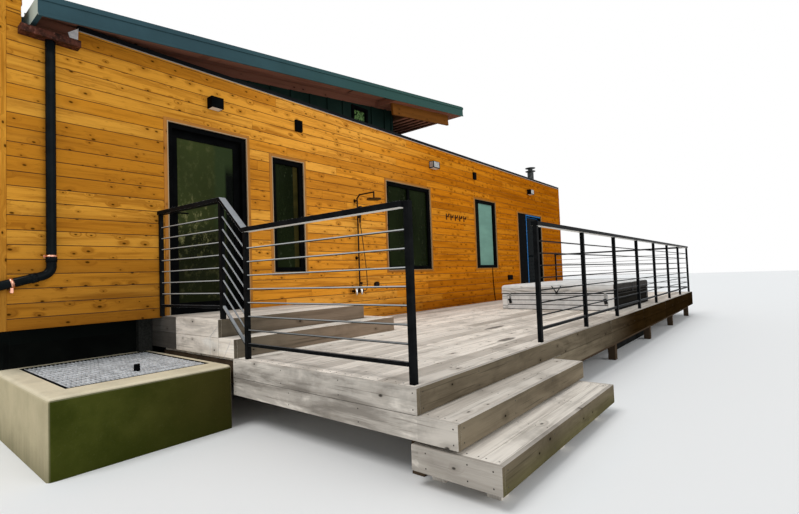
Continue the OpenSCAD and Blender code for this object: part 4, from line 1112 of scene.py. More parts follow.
class CABIN_OT_stage(Operator):
    """Camera at the photograph's viewing angle, pale floor and soft studio light."""
    bl_idname = "cabin.stage"
    bl_label = "Stage and camera"

    def execute(self, context):
        scene = context.scene
        lens = bpy.data.cameras.new("camera")
        lens.lens, lens.sensor_width = 20.595, 36.0
        lens.clip_end = 200.0
        camera = placed("camera", lens)
        right = Vector((0.6368, -0.7702, -0.0361)).normalized()
        forward = Vector((0.7710, 0.6356, 0.0399)).normalized()
        forward = (forward - right * forward.dot(right)).normalized()
        up = right.cross(forward)
        turn = Matrix((right, up, -forward)).transposed().to_4x4()
        camera.matrix_world = Matrix.Translation(ORIGIN + Vector((-2.0441, -4.8513, 0.6401))) @ turn
        scene.camera = camera
        scene.view_settings.view_transform = "Standard"

        world = bpy.data.worlds.new("studio")
        scene.world = world
        world.use_nodes = True
        nodes, links = world.node_tree.nodes, world.node_tree.links
        paths = nodes.new("ShaderNodeLightPath")
        seen = paths.outputs["Is Camera Ray"]
        for ray in ("Is Glossy Ray", "Is Transmission Ray"):
            most = nodes.new("ShaderNodeMath")
            most.operation = "MAXIMUM"
            links.new(seen, most.inputs[0])
            links.new(paths.outputs[ray], most.inputs[1])
            seen = most.outputs[0]
        plain = nodes["Background"]
        plain.inputs["Color"].default_value = (0.90, 0.95, 1.0, 1.0)
        plain.inputs["Strength"].default_value = 0.50
        white = nodes.new("ShaderNodeBackground")
        white.inputs["Color"].default_value = (1.0, 1.0, 1.0, 1.0)
        choose = nodes.new("ShaderNodeMixShader")
        for i, output in enumerate((seen, plain.outputs[0], white.outputs[0])):
            links.new(output, choose.inputs[i])
        links.new(choose.outputs[0], nodes["World Output"].inputs[0])

        for name, heading, strength, spread in (("key", (0.55, -0.04, -0.80), 1.5, 25.0),
                                                ("fill", (-0.10, 0.90, -0.35), 1.0, 60.0)):
            light = bpy.data.lights.new(name, "SUN")
            light.energy, light.angle = strength, math.radians(spread)
            turn = Vector(heading).to_track_quat("-Z", "Y")
            placed(name, light).matrix_world = turn.to_matrix().to_4x4()

        shape = bmesh.new()
        bmesh.ops.create_circle(shape, cap_ends=True, radius=70.0, segments=96)
        ground = placed("studio_floor", mesh_of(shape, "floor"))
        pale = Finish("studio floor", Base_Color=(0.86, 0.86, 0.85), Roughness=0.9,
                      Specular_IOR_Level=0.1)
        ground.data.materials.append(pale.material)
        ground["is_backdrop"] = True
        return {"FINISHED"}


# The hose's route from the shower's valve to its hand piece, the same as in the solid model
HOSE = [(2.815, 0.530), (2.815, 0.510), (2.816, 0.490), (2.821, 0.466), (2.833, 0.447), (2.852, 0.433),
        (2.877, 0.427), (2.901, 0.433), (2.919, 0.447), (2.931, 0.466), (2.937, 0.490), (2.938, 0.540),
        (2.936, 0.620), (2.930, 0.720), (2.920, 0.820), (2.908, 0.920), (2.894, 1.020), (2.878, 1.120),
        (2.862, 1.220), (2.847, 1.320), (2.836, 1.380), (2.829, 1.415), (2.827, 1.430), (2.827, 1.444)]
HOSE_Y = -0.100


class CABIN_OT_hose(Operator):
    """The shower's hose, a free cord from the valve to the hand piece."""
    bl_idname = "cabin.hose"
    bl_label = "Shower hose"

    def execute(self, context):
        path = [Vector((x, HOSE_Y, z)) for x, z in HOSE]
        length = sum((b - a).length for a, b in zip(path, path[1:]))
        fine = []
        for a, b in zip(path, path[1:]):
            steps = max(1, math.ceil((b - a).length / 0.004))
            fine += [a.lerp(b, k / steps) for k in range(steps)]
        fine.append(path[-1])
        for _ in range(6):
            inner = [(a + 2 * b + c) / 4 for a, b, c in zip(fine, fine[1:], fine[2:])]
            fine = [fine[0], *inner, fine[-1]]
        radius, rib = 0.006, 0.0004
        radii = [radius if k % 2 else radius - rib for k in range(len(fine))]
        mesh = tube_mesh("shower_hose_braid", fine, radii, sides=12)
        hose = own("shower_hose_braid", mesh, "hose", "hose", replaces=("shower_hose",))
        [ORIGIN + p for p in fine]
        return {"FINISHED"}


# Siding and trims


def courses(low, high):
    """Heights of the siding's courses between two heights, one exposure apart."""
    s = sizes()
    k = math.floor((low - s.first_seam) / s.exposure)
    while s.first_seam + k * s.exposure < high - 0.01:
        z0 = max(low, s.first_seam + k * s.exposure + s.board_gap / 2)
        z1 = min(high, s.first_seam + (k + 1) * s.exposure - s.board_gap / 2)
        if z1 - z0 > 0.012:
            yield z0, z1
        k += 1


def lengths(start, end, draw, shortest, longest, last=()):
    """Cuts a run into boards of random length, with joints away from those of the row before."""
    joints = []
    at = start
    while end - at > longest:
        for _ in range(8):
            length = draw.uniform(shortest, longest)
            if all(abs(at + length - j) > 0.35 for j in last):
                break
        if end - at - length < shortest * 0.6:
            break
        at += length
        joints.append(at)
    marks = [start] + joints + [end]
    return list(zip(marks, marks[1:])), joints


def strips(low, high, out, inner):
    """The two strips at the ends of a span, from a little outside it to a little inside."""
    return (low - out, low + inner), (high - inner, high + out)


def opening_cuts(names, y0, y1, grow=0.012):
    """Boxes that cut a wall's openings out of its boards."""
    return [((a - grow, y0, c - grow), (b + grow, y1, d + grow))
            for a, b, c, d in (OPENINGS[n] for n in names)]


def side_boards(boards, face, z0, z1, start, end, draw, outward, axis):
    """Courses of boards on a wall. The face is the wall's plane, and outward is the side it looks to."""
    bed, joint, shortest, longest = 0.010, 0.0008, 1.6, 4.3
    a, b = sorted((face + sizes().board_proud * outward, face - bed * outward))
    last = ()
    for low, high in courses(z0, z1):
        pieces, last = lengths(start, end, draw, shortest, longest, last)
        for p, q in ((p + joint, q - joint) for p, q in pieces):
            if axis is X:
                boards.add((p, a, low), (q, b, high), X)
            else:
                boards.add((a, p, low), (b, q, high), Y)
    return boards


class CABIN_OT_siding(Operator):
    """Horizontal cedar boards on all four sides, with corner boards."""
    bl_idname = "cabin.siding"
    bl_label = "Siding"

    def execute(self, context):
        s = sizes()
        draw = random.Random(s.seed)
        corner, narrow, beyond, above = s.corner_width, 0.09, 0.1, WALL_TOP + 0.6
        left, right, deep = WALL_LEFT, WALL_RIGHT, WALL_BACK
        side = corner * 0.7
        foot_cut = ((left - beyond, -beyond, -beyond), (FLOOR_STEP, deep + beyond, WALL_FOOT))
        roof_cut = ([(END_INNER, under_roof(END_INNER)), (SOFFIT_LEFT, under_roof(SOFFIT_LEFT)),
                     (SOFFIT_LEFT, above), (END_INNER, above)], -beyond, deep + beyond)
        for name, face, out, seed, holes in (("front_siding", 0.0, -1, 1, OPENINGS),
                                             ("back_siding", deep, 1, 2, BACK_WINDOWS)):
            wall = side_boards(Boards(), face, 0.0, WALL_TOP, left + corner, right - narrow, draw, out, X)
            cuts = [opening_cuts(holes, face - beyond, face + beyond), [foot_cut, roof_cut]]
            wall.lay(name, "cedar", "cladding", SIDING_EDGE, seed, cuts)
        ends = Boards()
        over_roof = under_roof(END_INNER) + ROOF_THICK + 0.01
        side_boards(ends, left, WALL_FOOT, END_TOP, side, deep - side, draw, -1, Y)
        side_boards(ends, right, 0.0, WALL_TOP, narrow, deep - narrow, draw, 1, Y)
        side_boards(ends, END_INNER, over_roof, END_TOP, 0.0, deep, draw, 1, Y)
        ends.lay("end_siding", "cedar", "cladding", SIDING_EDGE, 3)
        parapet = Boards()
        for y, out in ((0.0, -1), (deep, 1)):
            side_boards(parapet, y, WALL_TOP + s.board_gap, END_TOP, left + corner, END_INNER,
                        draw, out, X)
        parapet.lay("parapet_siding", "cedar", "cladding", SIDING_EDGE, 4)
        corners = Boards()
        out, lip = 0.012, 0.008
        for y0, y1 in strips(0.0, deep, out, 0.0):
            corners.add((left - lip, y0, WALL_FOOT), (left + corner, y1, END_TOP), Z)
            corners.add((right - narrow, y0, 0.0), (right + lip, y1, WALL_TOP), Z)
        for y0, y1 in strips(0.0, deep, out, side):
            corners.add((left - out, y0, WALL_FOOT), (left, y1, END_TOP), Z)
            corners.add((right, y0, 0.0), (right + out, y1, WALL_TOP), Z)
        corners.lay("corner_boards", "cedar", "cladding", 0.003, 5)
        dress("core", "front_wall_left", "front_wall_middle", "front_wall_right", "door_heads",
              "back_wall", "left_end_wall", "right_end_wall")
        return {"FINISHED"}


class CABIN_OT_trims(Operator):
    """Pale trims around the doors and windows."""
    bl_idname = "cabin.trims"
    bl_label = "Trims"

    def execute(self, context):
        walls = [(name, 0.0, -1) for name in OPENINGS]
        walls += [(name, WALL_BACK, 1) for name in BACK_WINDOWS]
        trims, edging = Boards(), Boards()
        w, e = sizes().trim_width, sizes().slim_trim
        for name, face, out in walls:
            x0, x1, z0, z1 = OPENINGS[name]
            door = name.startswith("door")
            for rows, inner, outer, proud in ((trims, e, w, 0.014), (edging, 0.0, e, 0.017)):
                y0, y1 = sorted((face + proud * out, face - 0.004 * out))
                foot = z0 if door else z0 - outer
                rows.add((x0 - outer, y0, foot), (x0 - inner, y1, z1 + outer), Z)
                rows.add((x1 + inner, y0, foot), (x1 + outer, y1, z1 + outer), Z)
                rows.add((x0 - inner, y0, z1 + inner), (x1 + inner, y1, z1 + outer), X)
                if not door:
                    rows.add((x0 - inner, y0, z0 - outer), (x1 + inner, y1, z0 - inner), X)
        trims.lay("opening_trims", "trim", "cladding", 0.0025, 11)
        edging.lay("opening_edging", "edging", "cladding", 0.001, 12)
        return {"FINISHED"}


# Shed roof and what stands under it


class CABIN_OT_shed_roof(Operator):
    """Roof sheets with standing seams, fascias, drip edges, soffit boards, purlins and side beams."""
    bl_idname = "cabin.shed_roof"
    bl_label = "Shed roof"

    def execute(self, context):
        front, back, right = ROOF_LOW.y, ROOF_HIGH.y, ROOF_HIGH.x
        eave = under_roof(right) + ROOF_THICK
        dress("roof", "shed_roof")
        metal = Boards()
        inset, seam_high, lap = 0.02, 0.026, 0.006
        count = round((back - front) / sizes().seam_step)
        for k in range(count + 1):
            y = front + inset + k * (back - front - 2 * inset) / count
            beside_wall = 0.21 < y < WALL_BACK - 0.21
            metal.pitched(END_INNER + 0.01 if beside_wall else ROOF_LEFT, right, y,
                          ROOF_THICK + seam_high, 0.028, 0.012)
        for y in (front - 0.004, back + 0.004):
            metal.pitched(ROOF_LEFT, right, y, ROOF_THICK + lap, 0.040, 0.016)
            metal.pitched(ROOF_LEFT, right, y, 0.012, 0.026, 0.008)
        metal.add((right - 0.006, front, eave - 0.036), (right + 0.008, back, eave + lap), Y)
        metal.lay("roof_metalwork", "roof", "roof_metal", 0.002, 21)
        self.closers()
        self.soffit(front, back, right)
        self.rafters()
        return {"FINISHED"}

    def closers(self):
        """Two short boards over the end of the siding, at the front and at the back, darkened as painted
        shade.
        """
        closers = Boards()
        for y0, y1 in strips(0.0, WALL_BACK, 0.013, 0.001):
            for z0, z1 in ((2.858, 2.930), (2.932, WALL_TOP + 0.012)):
                closers.add((SOFFIT_LEFT + 0.002, y0, z0), (-0.704, y1, z1), X)
        closers.lay("eaves_closers", "closer", "stained_timber", 0.0015, 26)

    def soffit(self, front, back, right):
        """Planks set up inside the fascias, and thin boards under the roof's high end."""
        soffit = Boards()
        plank, joint, thick, clear = 0.118, 0.003, 0.010, 0.0005
        left, inner, far = SOFFIT_LEFT + 0.002, CLERESTORY_FRONT, WALL_BACK - CLERESTORY_FRONT
        overhangs = ((front + FASCIA, inner), (far, back - FASCIA))
        for y0, y1 in overhangs:
            rows = max(1, round((y1 - y0) / plank))
            for k in range(rows):
                a, b = (y0 + j * (y1 - y0) / rows for j in (k, k + 1))
                soffit.pitched(left, SOFFIT_RIGHT, (a + b) / 2, SOFFIT_RISE - clear, thick, b - a - joint)
        for y in (inner - 0.005, far + 0.005):
            soffit.pitched(left, SOFFIT_RIGHT, y, SOFFIT_RISE - thick - clear, 0.100, 0.014)
        for start, y0, y1 in ((SOFFIT_RIGHT - 0.004, front + 0.006, inner),
                              (CLERESTORY_RIGHT + 0.003, inner, far),
                              (SOFFIT_RIGHT - 0.004, far, back - 0.006)):
            soffit.pitched(start, right - 0.01, (y0 + y1) / 2, 0.001 - clear, 0.006, y1 - y0)
        z = under_roof(SOFFIT_RIGHT) - 0.004
        for y0, y1 in overhangs:
            soffit.add((SOFFIT_RIGHT - 0.006, y0, z), (SOFFIT_RIGHT + 0.001, y1, z + SOFFIT_RISE), Y)
        soffit.lay("soffit_boards", "soffit", "stained_timber", 0.0015, 22)

    def rafters(self):
        """Side beams and open rafters at the roof's high end, each with a lip at its foot."""
        beams, rafters, lips = Boards(), Boards(), Boards()
        low, high = drawn("open_rafters")
        depth, thick, step, clear, lip = 0.190, 0.040, 0.173, 0.001, 0.002
        for y in (low.y + thick / 2, high.y - thick / 2):
            beams.pitched(low.x, high.x, y, -clear, depth, thick)
        for i in range(6):
            x = CLERESTORY_RIGHT + 0.030 + i * step
            top = under_roof(x + thick / 2) - clear
            rafters.add((x, low.y + thick, top - depth), (x + thick, high.y - thick, top), Y)
            lips.add((x - lip, low.y + thick, top - depth - 0.001),
                     (x + thick + lip, high.y - thick, top - depth + 0.012), Y)
        beams.lay("side_beams", "beam", "stained_timber", 0.003, 23, replaces=("open_rafters",))
        rafters.lay("purlins", "purlin", "stained_timber", 0.003, 24)
        lips.lay("purlin_lips", "soffit", "stained_timber", 0.001, 25)


class CABIN_OT_clerestory(Operator):
    """Dark panels and battens under the shed roof."""
    bl_idname = "cabin.clerestory"
    bl_label = "Clerestory"

    def execute(self, context):
        dress("panel", "clerestory_walls")
        battens = Boards()
        half, proud, clear = 0.020, 0.020, 0.004
        front, back = CLERESTORY_FRONT, WALL_BACK - CLERESTORY_FRONT
        foot, roof = drawn("wall_cap")[1].z, drawn("flat_roof")[1].z
        for x in (1.20, 1.53, 1.86, 2.194, 2.527, 2.840, 3.492, 3.815, 3.990):
            top = under_roof(x) - clear
            for y0, y1 in strips(front, back, proud, 0.0) if top - foot >= 0.03 else ():
                battens.add((x - half, y0, foot), (x + half, y1, top), Z)
        x, first, count = CLERESTORY_RIGHT, 0.36, 12
        for k in range(count):
            y = first + k * (WALL_BACK - 2 * first) / (count - 1)
            battens.add((x, y - half, roof), (x + proud, y + half, under_roof(x) - clear), Z)
        battens.lay("clerestory_battens", "panel", "clerestory_panel", 0.002, 31)
        rim = Boards()
        x0, x1, z0, z1 = HIGH_WINDOW
        w, y = 0.045, CLERESTORY_FRONT
        for a, b in strips(x0, x1, 0.030, w - 0.030):
            rim.add((a, y - 0.024, z0 - 0.020), (b, y + 0.010, z1 + 0.030), Z)
        for a, b in ((z0 - 0.020, z0 + w - 0.020), (z1 - w + 0.030, z1 + 0.030)):
            rim.add((x0, y - 0.023, a), (x1, y + 0.010, b), X)
        rim.lay("high_window_rim", "frames", "black_metal", 0.002, 32)
        return {"FINISHED"}


class CABIN_OT_flat_roof(Operator):
    """Membrane roof, metal cap with its pale drip edge, the end wall's cap and the flue."""
    bl_idname = "cabin.flat_roof"
    bl_label = "Flat roof"

    def execute(self, context):
        dress("membrane", "flat_roof")
        softened("wall_cap", "wall_top_cap", "cap", "black_metal", 0.003)
        low, high = drawn("wall_cap")
        drip = Boards()
        inner, outer = 0.006, 0.001
        z0, z1 = WALL_TOP - 0.007, WALL_TOP + outer
        drip.add((low.x, low.y - outer, z0), (high.x, low.y + inner, z1), X)
        drip.add((low.x, high.y - inner, z0), (high.x, high.y + outer, z1), X)
        drip.add((high.x - inner, low.y, z0), (high.x + outer, high.y, z1), Y)
        drip.lay("cap_drip_edge", "drip", "black_metal", 0.001, 41)
        cap = Boards().add((WALL_LEFT - 0.012, -0.014, END_TOP - 0.03),
                           (END_INNER + 0.012, WALL_BACK + 0.014, END_TOP + 0.003), Y)
        cap.lay("end_wall_cap", "cap", "black_metal", 0.003, 42)
        shape = bmesh.new()
        outline = [(-0.781, 2.945), (-0.765, 2.898), (-0.704, 2.905), (-0.699, 3.012)]
        for out, face in ((-1, 0.0), (1, WALL_BACK)):
            plate(shape, outline, *sorted((face + 0.014 * out, face + 0.018 * out)))
        bmesh.ops.recalc_face_normals(shape, faces=shape.faces)
        own("cap_end_flashings", mesh_of(shape, "cap_end_flashings"), "flashing", "black_metal")
        softened("flue", "flue_pipe", "flue", "flue_steel", 0.003)
        return {"FINISHED"}


class CABIN_OT_rainwater(Operator):
    """Copper rain box and the black downspout with its copper straps."""
    bl_idname = "cabin.rainwater"
    bl_label = "Rain box and downspout"

    def execute(self, context):
        softened("rain_box", "copper_rain_box", "copper", "copper", 0.0015)
        radius = 0.0375
        x, y = -0.920, -radius - 0.012
        elbow, end = Vector((x, y, 0.760)), Vector((WALL_LEFT + 0.020, y, 0.650))
        slope = (end - elbow).normalized()
        path = rounded_path([(x, y, drawn("downspout")[1].z), elbow, end], 0.085, 10)
        path = [path[0].lerp(path[1], k / 12) for k in range(12)] + path[1:]

        def ring(start, stop, proud):
            return tube_mesh("ring", [start, stop], radius + proud, 28)

        sleeve, collar = 0.045, 0.004
        near = elbow + slope * 0.105
        pipe = [tube_mesh("downspout_pipe", path, radius, sides=28),
                ring(elbow + Z * 0.10, elbow + Z * (0.10 + sleeve), collar),
                ring(near, near + slope * sleeve, collar)]
        own("downspout_pipe", join("downspout_pipe", pipe), "pipe", "black_metal",
            replaces=("downspout",))
        strap, hang, half = Vector((x, y, 0.910)), elbow + slope * 0.275, 0.011
        bands = [ring(centre - axis * half, centre + axis * half, 0.0035)
                 for centre, axis in ((strap, Z), (hang, slope))]
        own("downspout_straps", join("downspout_straps", bands), "strap", "copper")
        ears = Boards()
        ears.add((x - 0.046, -0.010, strap.z - 0.012), (x + 0.046, 0.0, strap.z + 0.012), X)
        ears.add((hang.x - 0.010, y - 0.012, hang.z - 0.080),
                 (hang.x + 0.010, y + 0.012, hang.z - radius), Z)
        ears.add((hang.x - 0.012, y, hang.z - 0.074), (hang.x + 0.012, 0.0, hang.z - 0.062), X)
        ears.lay("downspout_strap_ears", "strap", "copper", 0.001, 51)
        return {"FINISHED"}


# Doors and windows


class CABIN_OT_openings(Operator):
    """Door leaves, frames, windows and glass."""
    bl_idname = "cabin.openings"
    bl_label = "Doors and windows"

    def execute(self, context):
        softened("door_frames", "door_casings", "frames", "black_metal", 0.002)
        softened("window_frames", "window_casings", "frames", "black_metal", 0.003)
        softened("door_1_leaf", "door_1_stiles", "frames", "black_metal", 0.0015, body="door_1")
        softened("door_2_leaf", "door_2_stiles", "blue", "blue_paint", 0.0015, body="door_2")
        line = Boards()
        side_panel, near, far, wide, tall, gap = 0.506, 0.0072, 0.0105, 0.034, 0.030, 0.004
        x0, x1, z0, z1 = OPENINGS["door_2"]
        x0, z1 = x0 + side_panel, z1 - 0.006
        line.add((x0, near, z0 + gap), (x0 + wide, far, z1), Z)
        line.add((x0 + wide + 0.001, near, z1 - tall), (x1 - gap, far, z1), X)
        line.lay("door_2_blue_line", "blue_line", "blue_paint", 0.0008, 61)
        dress("glass", "window_glass")
        dress("dark_glass", "door_2_glass")
        dress("door_glass", "door_1_glass")
        return {"FINISHED"}


class CABIN_OT_fittings(Operator):
    """Lamps, vent boxes, hooks and the shower."""
    bl_idname = "cabin.fittings"
    bl_label = "Wall fittings"

    def execute(self, context):
        softened("wall_lamps", "wall_boxes", "frames", "black_metal", 0.004)
        lenses, front = Boards(), Boards()
        rim, foot, top = 0.012, 2.604, 2.704
        for x0, x1 in ((0.530, 0.675), (4.785, 4.985), (9.060, 9.260)):
            lenses.add((x0 + rim, -0.098, 2.5885), (x1 - rim, -rim, 2.592), X)
        lenses.lay("lamp_lenses", "lens", "glass", 0.0008, 71)
        for x0, x1 in ((4.795, 4.962), (9.090, 9.246)):
            front.add((x0, -0.113, foot), (x1, -0.109, top), X)
        front.add((4.782, -0.098, foot), (4.786, -0.020, top), Y)
        front.lay("lamp_fronts", "lamp_front", "black_metal", 0.001, 72)
        softened("hook_rack", "coat_hooks", "rust_brown", "black_metal", 0.0015)
        plates = Boards()
        first, spacing, lean = 5.290, 0.158, (0.35, 0, 0)
        for x in (first + i * spacing for i in range(5)):
            plates.add((x - 0.016, -0.014, 1.672), (x + 0.016, 0.0, 1.790), Z)
            plates.add((x - 0.012, -0.060, 1.712), (x + 0.012, -0.046, 1.778), Z, lean)
        plates.lay("coat_hook_plates", "rust_brown", "black_metal", 0.003, 73)
        softened("shower_column", "shower_pipework", "bronze", "black_metal", 0.001)
        taps = []
        for x in (2.690, 2.795):
            spout = [(x, y, z) for y, z in ((-0.100, 0.470), (-0.112, 0.452), (-0.118, 0.432),
                                            (-0.120, 0.395), (-0.120, 0.375))]
            knob = [(x, y, 0.478) for y in (-0.062, -0.130, -0.134)]
            taps += [tube_mesh("spout", spout, [0.020, 0.021, 0.017, 0.018, 0.013], 20),
                     tube_mesh("knob", knob, [0.022, 0.024, 0.018], 20)]
        own("shower_taps", join("shower_taps", taps), "chrome", "flue_steel")
        lead = [(x, -0.016, z) for x, z in ((7.031, 0.735), (7.035, 0.600), (7.046, 0.380),
                                            (7.070, 0.200), (7.100, 0.012))]
        own("window_3_conduit", tube_mesh("window_3_conduit", lead, 0.008, 12), "frames", "black_metal")
        return {"FINISHED"}


# Deck, steps and railings


def skin_screws(points, boards, axis, inset=0.03, spacing=0.61):
    """Pairs of screws along skirt boards: two heads at each place."""
    for low, high, face in boards:
        along = 0 if axis is X else 1
        span = high[along] - low[along]
        count = max(1, round((span - 2 * inset) / spacing))
        for k in range(count + 1):
            at = low[along] + inset + k * (span - 2 * inset) / count
            for z in (low[2] + SCREW_INSET, high[2] - SCREW_INSET):
                points.append((Vector((at, face, z)), -Y) if axis is X else (Vector((face, at, z)), -X))


class CABIN_OT_deck(Operator):
    """Deck boards, skirt boards and the frame below."""
    bl_idname = "cabin.deck"
    bl_label = "Deck"

    def execute(self, context):
        s = sizes()
        draw = random.Random(s.seed + 1)
        low, high = DECK_LOW, DECK_HIGH
        tub_low, tub_high = drawn("tub_cabinet")
        t, clear = DECK_FASCIA, 0.004
        left, right = low.x + t + 0.006, high.x - t - clear
        near, far = low.y + t + 0.007, high.y - WALL_CLEAR
        rows = round((far - near) / (s.deck_board + s.deck_gap))
        pitch = (far - near + s.deck_gap) / rows
        first_joist, joist_step, beside = 0.070, 0.61, 0.03
        boards = Boards()
        screws = []
        last = ()
        for k in range(rows):
            y0 = near + k * pitch
            y1 = y0 + pitch - s.deck_gap
            pieces, last = lengths(left, right, draw, 2.4, 4.9, last)
            for a, b in pieces:
                boards.add((a + HALF_JOINT, y0, low.z), (b - HALF_JOINT, y1, 0.0), X)
            for x in (first_joist + i * joist_step for i in range(18)):
                by_tub = (tub_low.x - beside < x < tub_high.x + beside
                          and y1 > tub_low.y and y0 < tub_high.y)
                if x < right and not by_tub:
                    screws += [(Vector((x, y, 0.0)), Z) for y in (y0 + SCREW_INSET, y1 - SCREW_INSET)]
        hole = ((tub_low.x - clear, tub_low.y - clear, -1), (tub_high.x + clear, tub_high.y + clear, 1))
        boards.lay("deck_planks", "deck", "deck_timber", 0.003, 81, [[hole]], replaces=("deck_boards",))
        step_front = drawn("upper_front_step")[0].y
        fascias = Boards()
        ends, fronts = [], []
        for z0, z1 in ((FASCIA_LOW, FASCIA_SPLIT), (FASCIA_UP, 0.0)):
            front = low.y if z1 == 0.0 else step_front
            fascias.add((low.x, front, z0), (low.x + t, FASCIA_END, z1), Y)
            fascias.add((high.x - t, low.y + t, z0), (high.x, far, z1), Y)
            ends.append(((0, front, z0), (0, FASCIA_END, z1), low.x))
            marks = (low.x + t, 3.9, 7.4, high.x)
            for a, b in zip(marks, marks[1:]):
                fascias.add((a + 0.0008, low.y, z0), (b - 0.0008, low.y + t, z1), X)
                if z1 == 0.0:
                    fronts.append(((a, 0, z0), (b, 0, z1), low.y))
        fascias.lay("deck_fascia_boards", "skirt", "deck_timber", 0.001, 82, replaces=("deck_skirt",))
        skin_screws(screws, ends, Y)
        skin_screws(screws, fronts, X)
        heads("deck_screws", screws, s.screw_d, 0.0012, "screw", "black_metal")
        dress("frame_timber", "deck_joists", "deck_beams", "deck_posts")
        return {"FINISHED"}


def treads(boards, x0, x1, y0, y1, top, thick, count):
    """Boards side by side along X between two values of Y."""
    step = (y1 - y0) / count
    for k in range(count):
        boards.add((x0, y0 + k * step + HALF_JOINT, top - thick),
                   (x1, y0 + (k + 1) * step - HALF_JOINT, top), X)


class CABIN_OT_steps(Operator):
    """Landing, the step that wraps it, and the two front steps."""
    bl_idname = "cabin.steps"
    bl_label = "Steps"

    def execute(self, context):
        walk, sides, pale = Boards(), Boards(), Boards()
        screws = []
        self.landing(walk, pale)
        self.front_steps(walk, sides, screws)
        corner, turn, foot = (-1.106, 0.251), (-0.972, 0.158), (-0.972, 0.001)
        seams = [[kerf(start, end, 0.0)] for start, end in ((corner, turn), (turn, foot),
                                                            ((-1.312, 0.144), (-1.204, 0.001)))]
        walk.lay("step_treads", "deck", "deck_timber", 0.002, 91, replaces=("landing",))
        sides.lay("step_sides", "skirt", "deck_timber", 0.002, 92, replaces=("upper_front_step",))
        # The landing's sides take the lighter copy of the fascia boards, as painted light
        pale.lay("landing_sides", "skirt_sunlit", "deck_timber", 0.002, 95, seams,
                 replaces=("landing_step",))
        feet = Boards()
        low, high = drawn("lower_front_step")
        post, inset, bearer, top = 0.090, 0.150, 0.038, high.z - BOARD
        for x in (low.x + inset, high.x / 2, high.x - inset - post):
            for y in (low.y + post, high.y - post - 0.030):
                feet.add((x, y, low.z), (x + post, y + post, top), Z)
        for x in (high.x / 4, high.x / 2 + post, high.x * 3 / 4):
            feet.add((x, low.y + DECK_FASCIA, high.z - STEP_SIDE), (x + bearer, high.y, top), Y)
        feet.lay("step_feet", "deck", "deck_timber", 0.003, 93, replaces=("lower_front_step",))
        heads("step_screws", screws, sizes().screw_d, 0.0012, "screw", "black_metal")
        return {"FINISHED"}

    def landing(self, walk, sides):
        """Side boards stand flush with the treads, two to a height, and the wall end of them is in painted
        shadow.
        """
        t = DECK_FASCIA
        low, high = drawn("landing")
        treads(walk, low.x + t, high.x - t, low.y + t, -WALL_CLEAR, high.z, BOARD, 8)
        middle = high.z / 2
        # Near-black boards at the wall end of the landing's side are a painted shadow
        shadow_boards = Boards()
        for z0, z1 in ((0.001, middle - HALF_JOINT), (middle + HALF_JOINT, high.z)):
            sides.add((low.x, low.y, z0), (low.x + t, SHADOW_FROM - 0.001, z1), Y)
            shadow_boards.add((low.x, SHADOW_FROM + 0.001, z0),
                     (low.x + t, UNDER_WALL, min(z1, WALL_FOOT - 0.004)), Y)
            sides.add((low.x + t, low.y, z0), (high.x, low.y + t, z1), X)
            sides.add((high.x - t, low.y + t, z0), (high.x, -WALL_CLEAR, z1), Y)
        shadow_boards.add((low.x, SHADOW_FROM + 0.001, WALL_FOOT - 0.003), (low.x + t, -0.013, high.z), Y)
        shadow_boards.lay("damp_landing_side", "skirt_shadowed", "deck_timber", 0.002, 94)
        step_low, step_high = drawn("landing_step")
        beside, before, tread = high.x, low.y - 0.001, 0.110
        x0, y0, x1, top = step_low.x, step_low.y, step_high.x, step_high.z
        treads(walk, x0 + t, x1 - t, y0 + t, before, top, BOARD, 2)
        for a, b in ((beside + HALF_JOINT, beside + tread - HALF_JOINT),
                     (beside + tread + HALF_JOINT, x1 - t - 0.001)):
            walk.add((a, low.y, top - BOARD), (b, -WALL_CLEAR, top), Y)
        sides.add((x0, y0, 0.001), (x0 + t, before, top), Y)
        sides.add((x0 + t, y0, 0.001), (x1, y0 + t, top), X)
        sides.add((x1 - t, y0 + t, 0.001), (x1, -WALL_CLEAR, top), Y)

    def front_steps(self, walk, sides, screws):
        """Boards on edge round both steps, flush with the treads between them."""
        t, board, inset = DECK_FASCIA, 0.140, 0.03
        for node in ("upper_front_step", "lower_front_step"):
            low, high = drawn(node)
            upper = node == "upper_front_step"
            foot = FASCIA_LOW if upper else high.z - STEP_SIDE
            far = DECK_LOW.y - 0.001 if upper else high.y
            x0, x1 = low.x + t, high.x - t
            edge = low.y + board + HALF_JOINT
            walk.add((x0, low.y + t, high.z - BOARD), (x1, edge - HALF_JOINT, high.z), X)
            while edge < far - 0.05:
                end = min(far, edge + board + HALF_JOINT)
                walk.add((x0, edge + HALF_JOINT, high.z - BOARD), (x1, end, high.z), X)
                edge += board + 2 * HALF_JOINT
            if not upper:
                sides.add((low.x, low.y, foot), (x0, far, high.z), Y)
            sides.add((x0, low.y, foot), (high.x, low.y + t, high.z), X)
            sides.add((x1, low.y + t, foot), (high.x, far, high.z), Y)
            heights = (foot + inset, high.z - inset)
            for x in (0.06, 0.68, 1.31, high.x - 0.06):
                screws += [(Vector((x, low.y + dy, high.z)), Z) for dy in (0.045, 0.120, 0.165, 0.235)]
                screws += [(Vector((x, low.y, z)), -Y) for z in heights]
            for y in () if upper else (low.y + 0.05, low.y + 0.20, far - 0.1):
                screws += [(Vector((low.x, y, z)), -X) for z in heights]


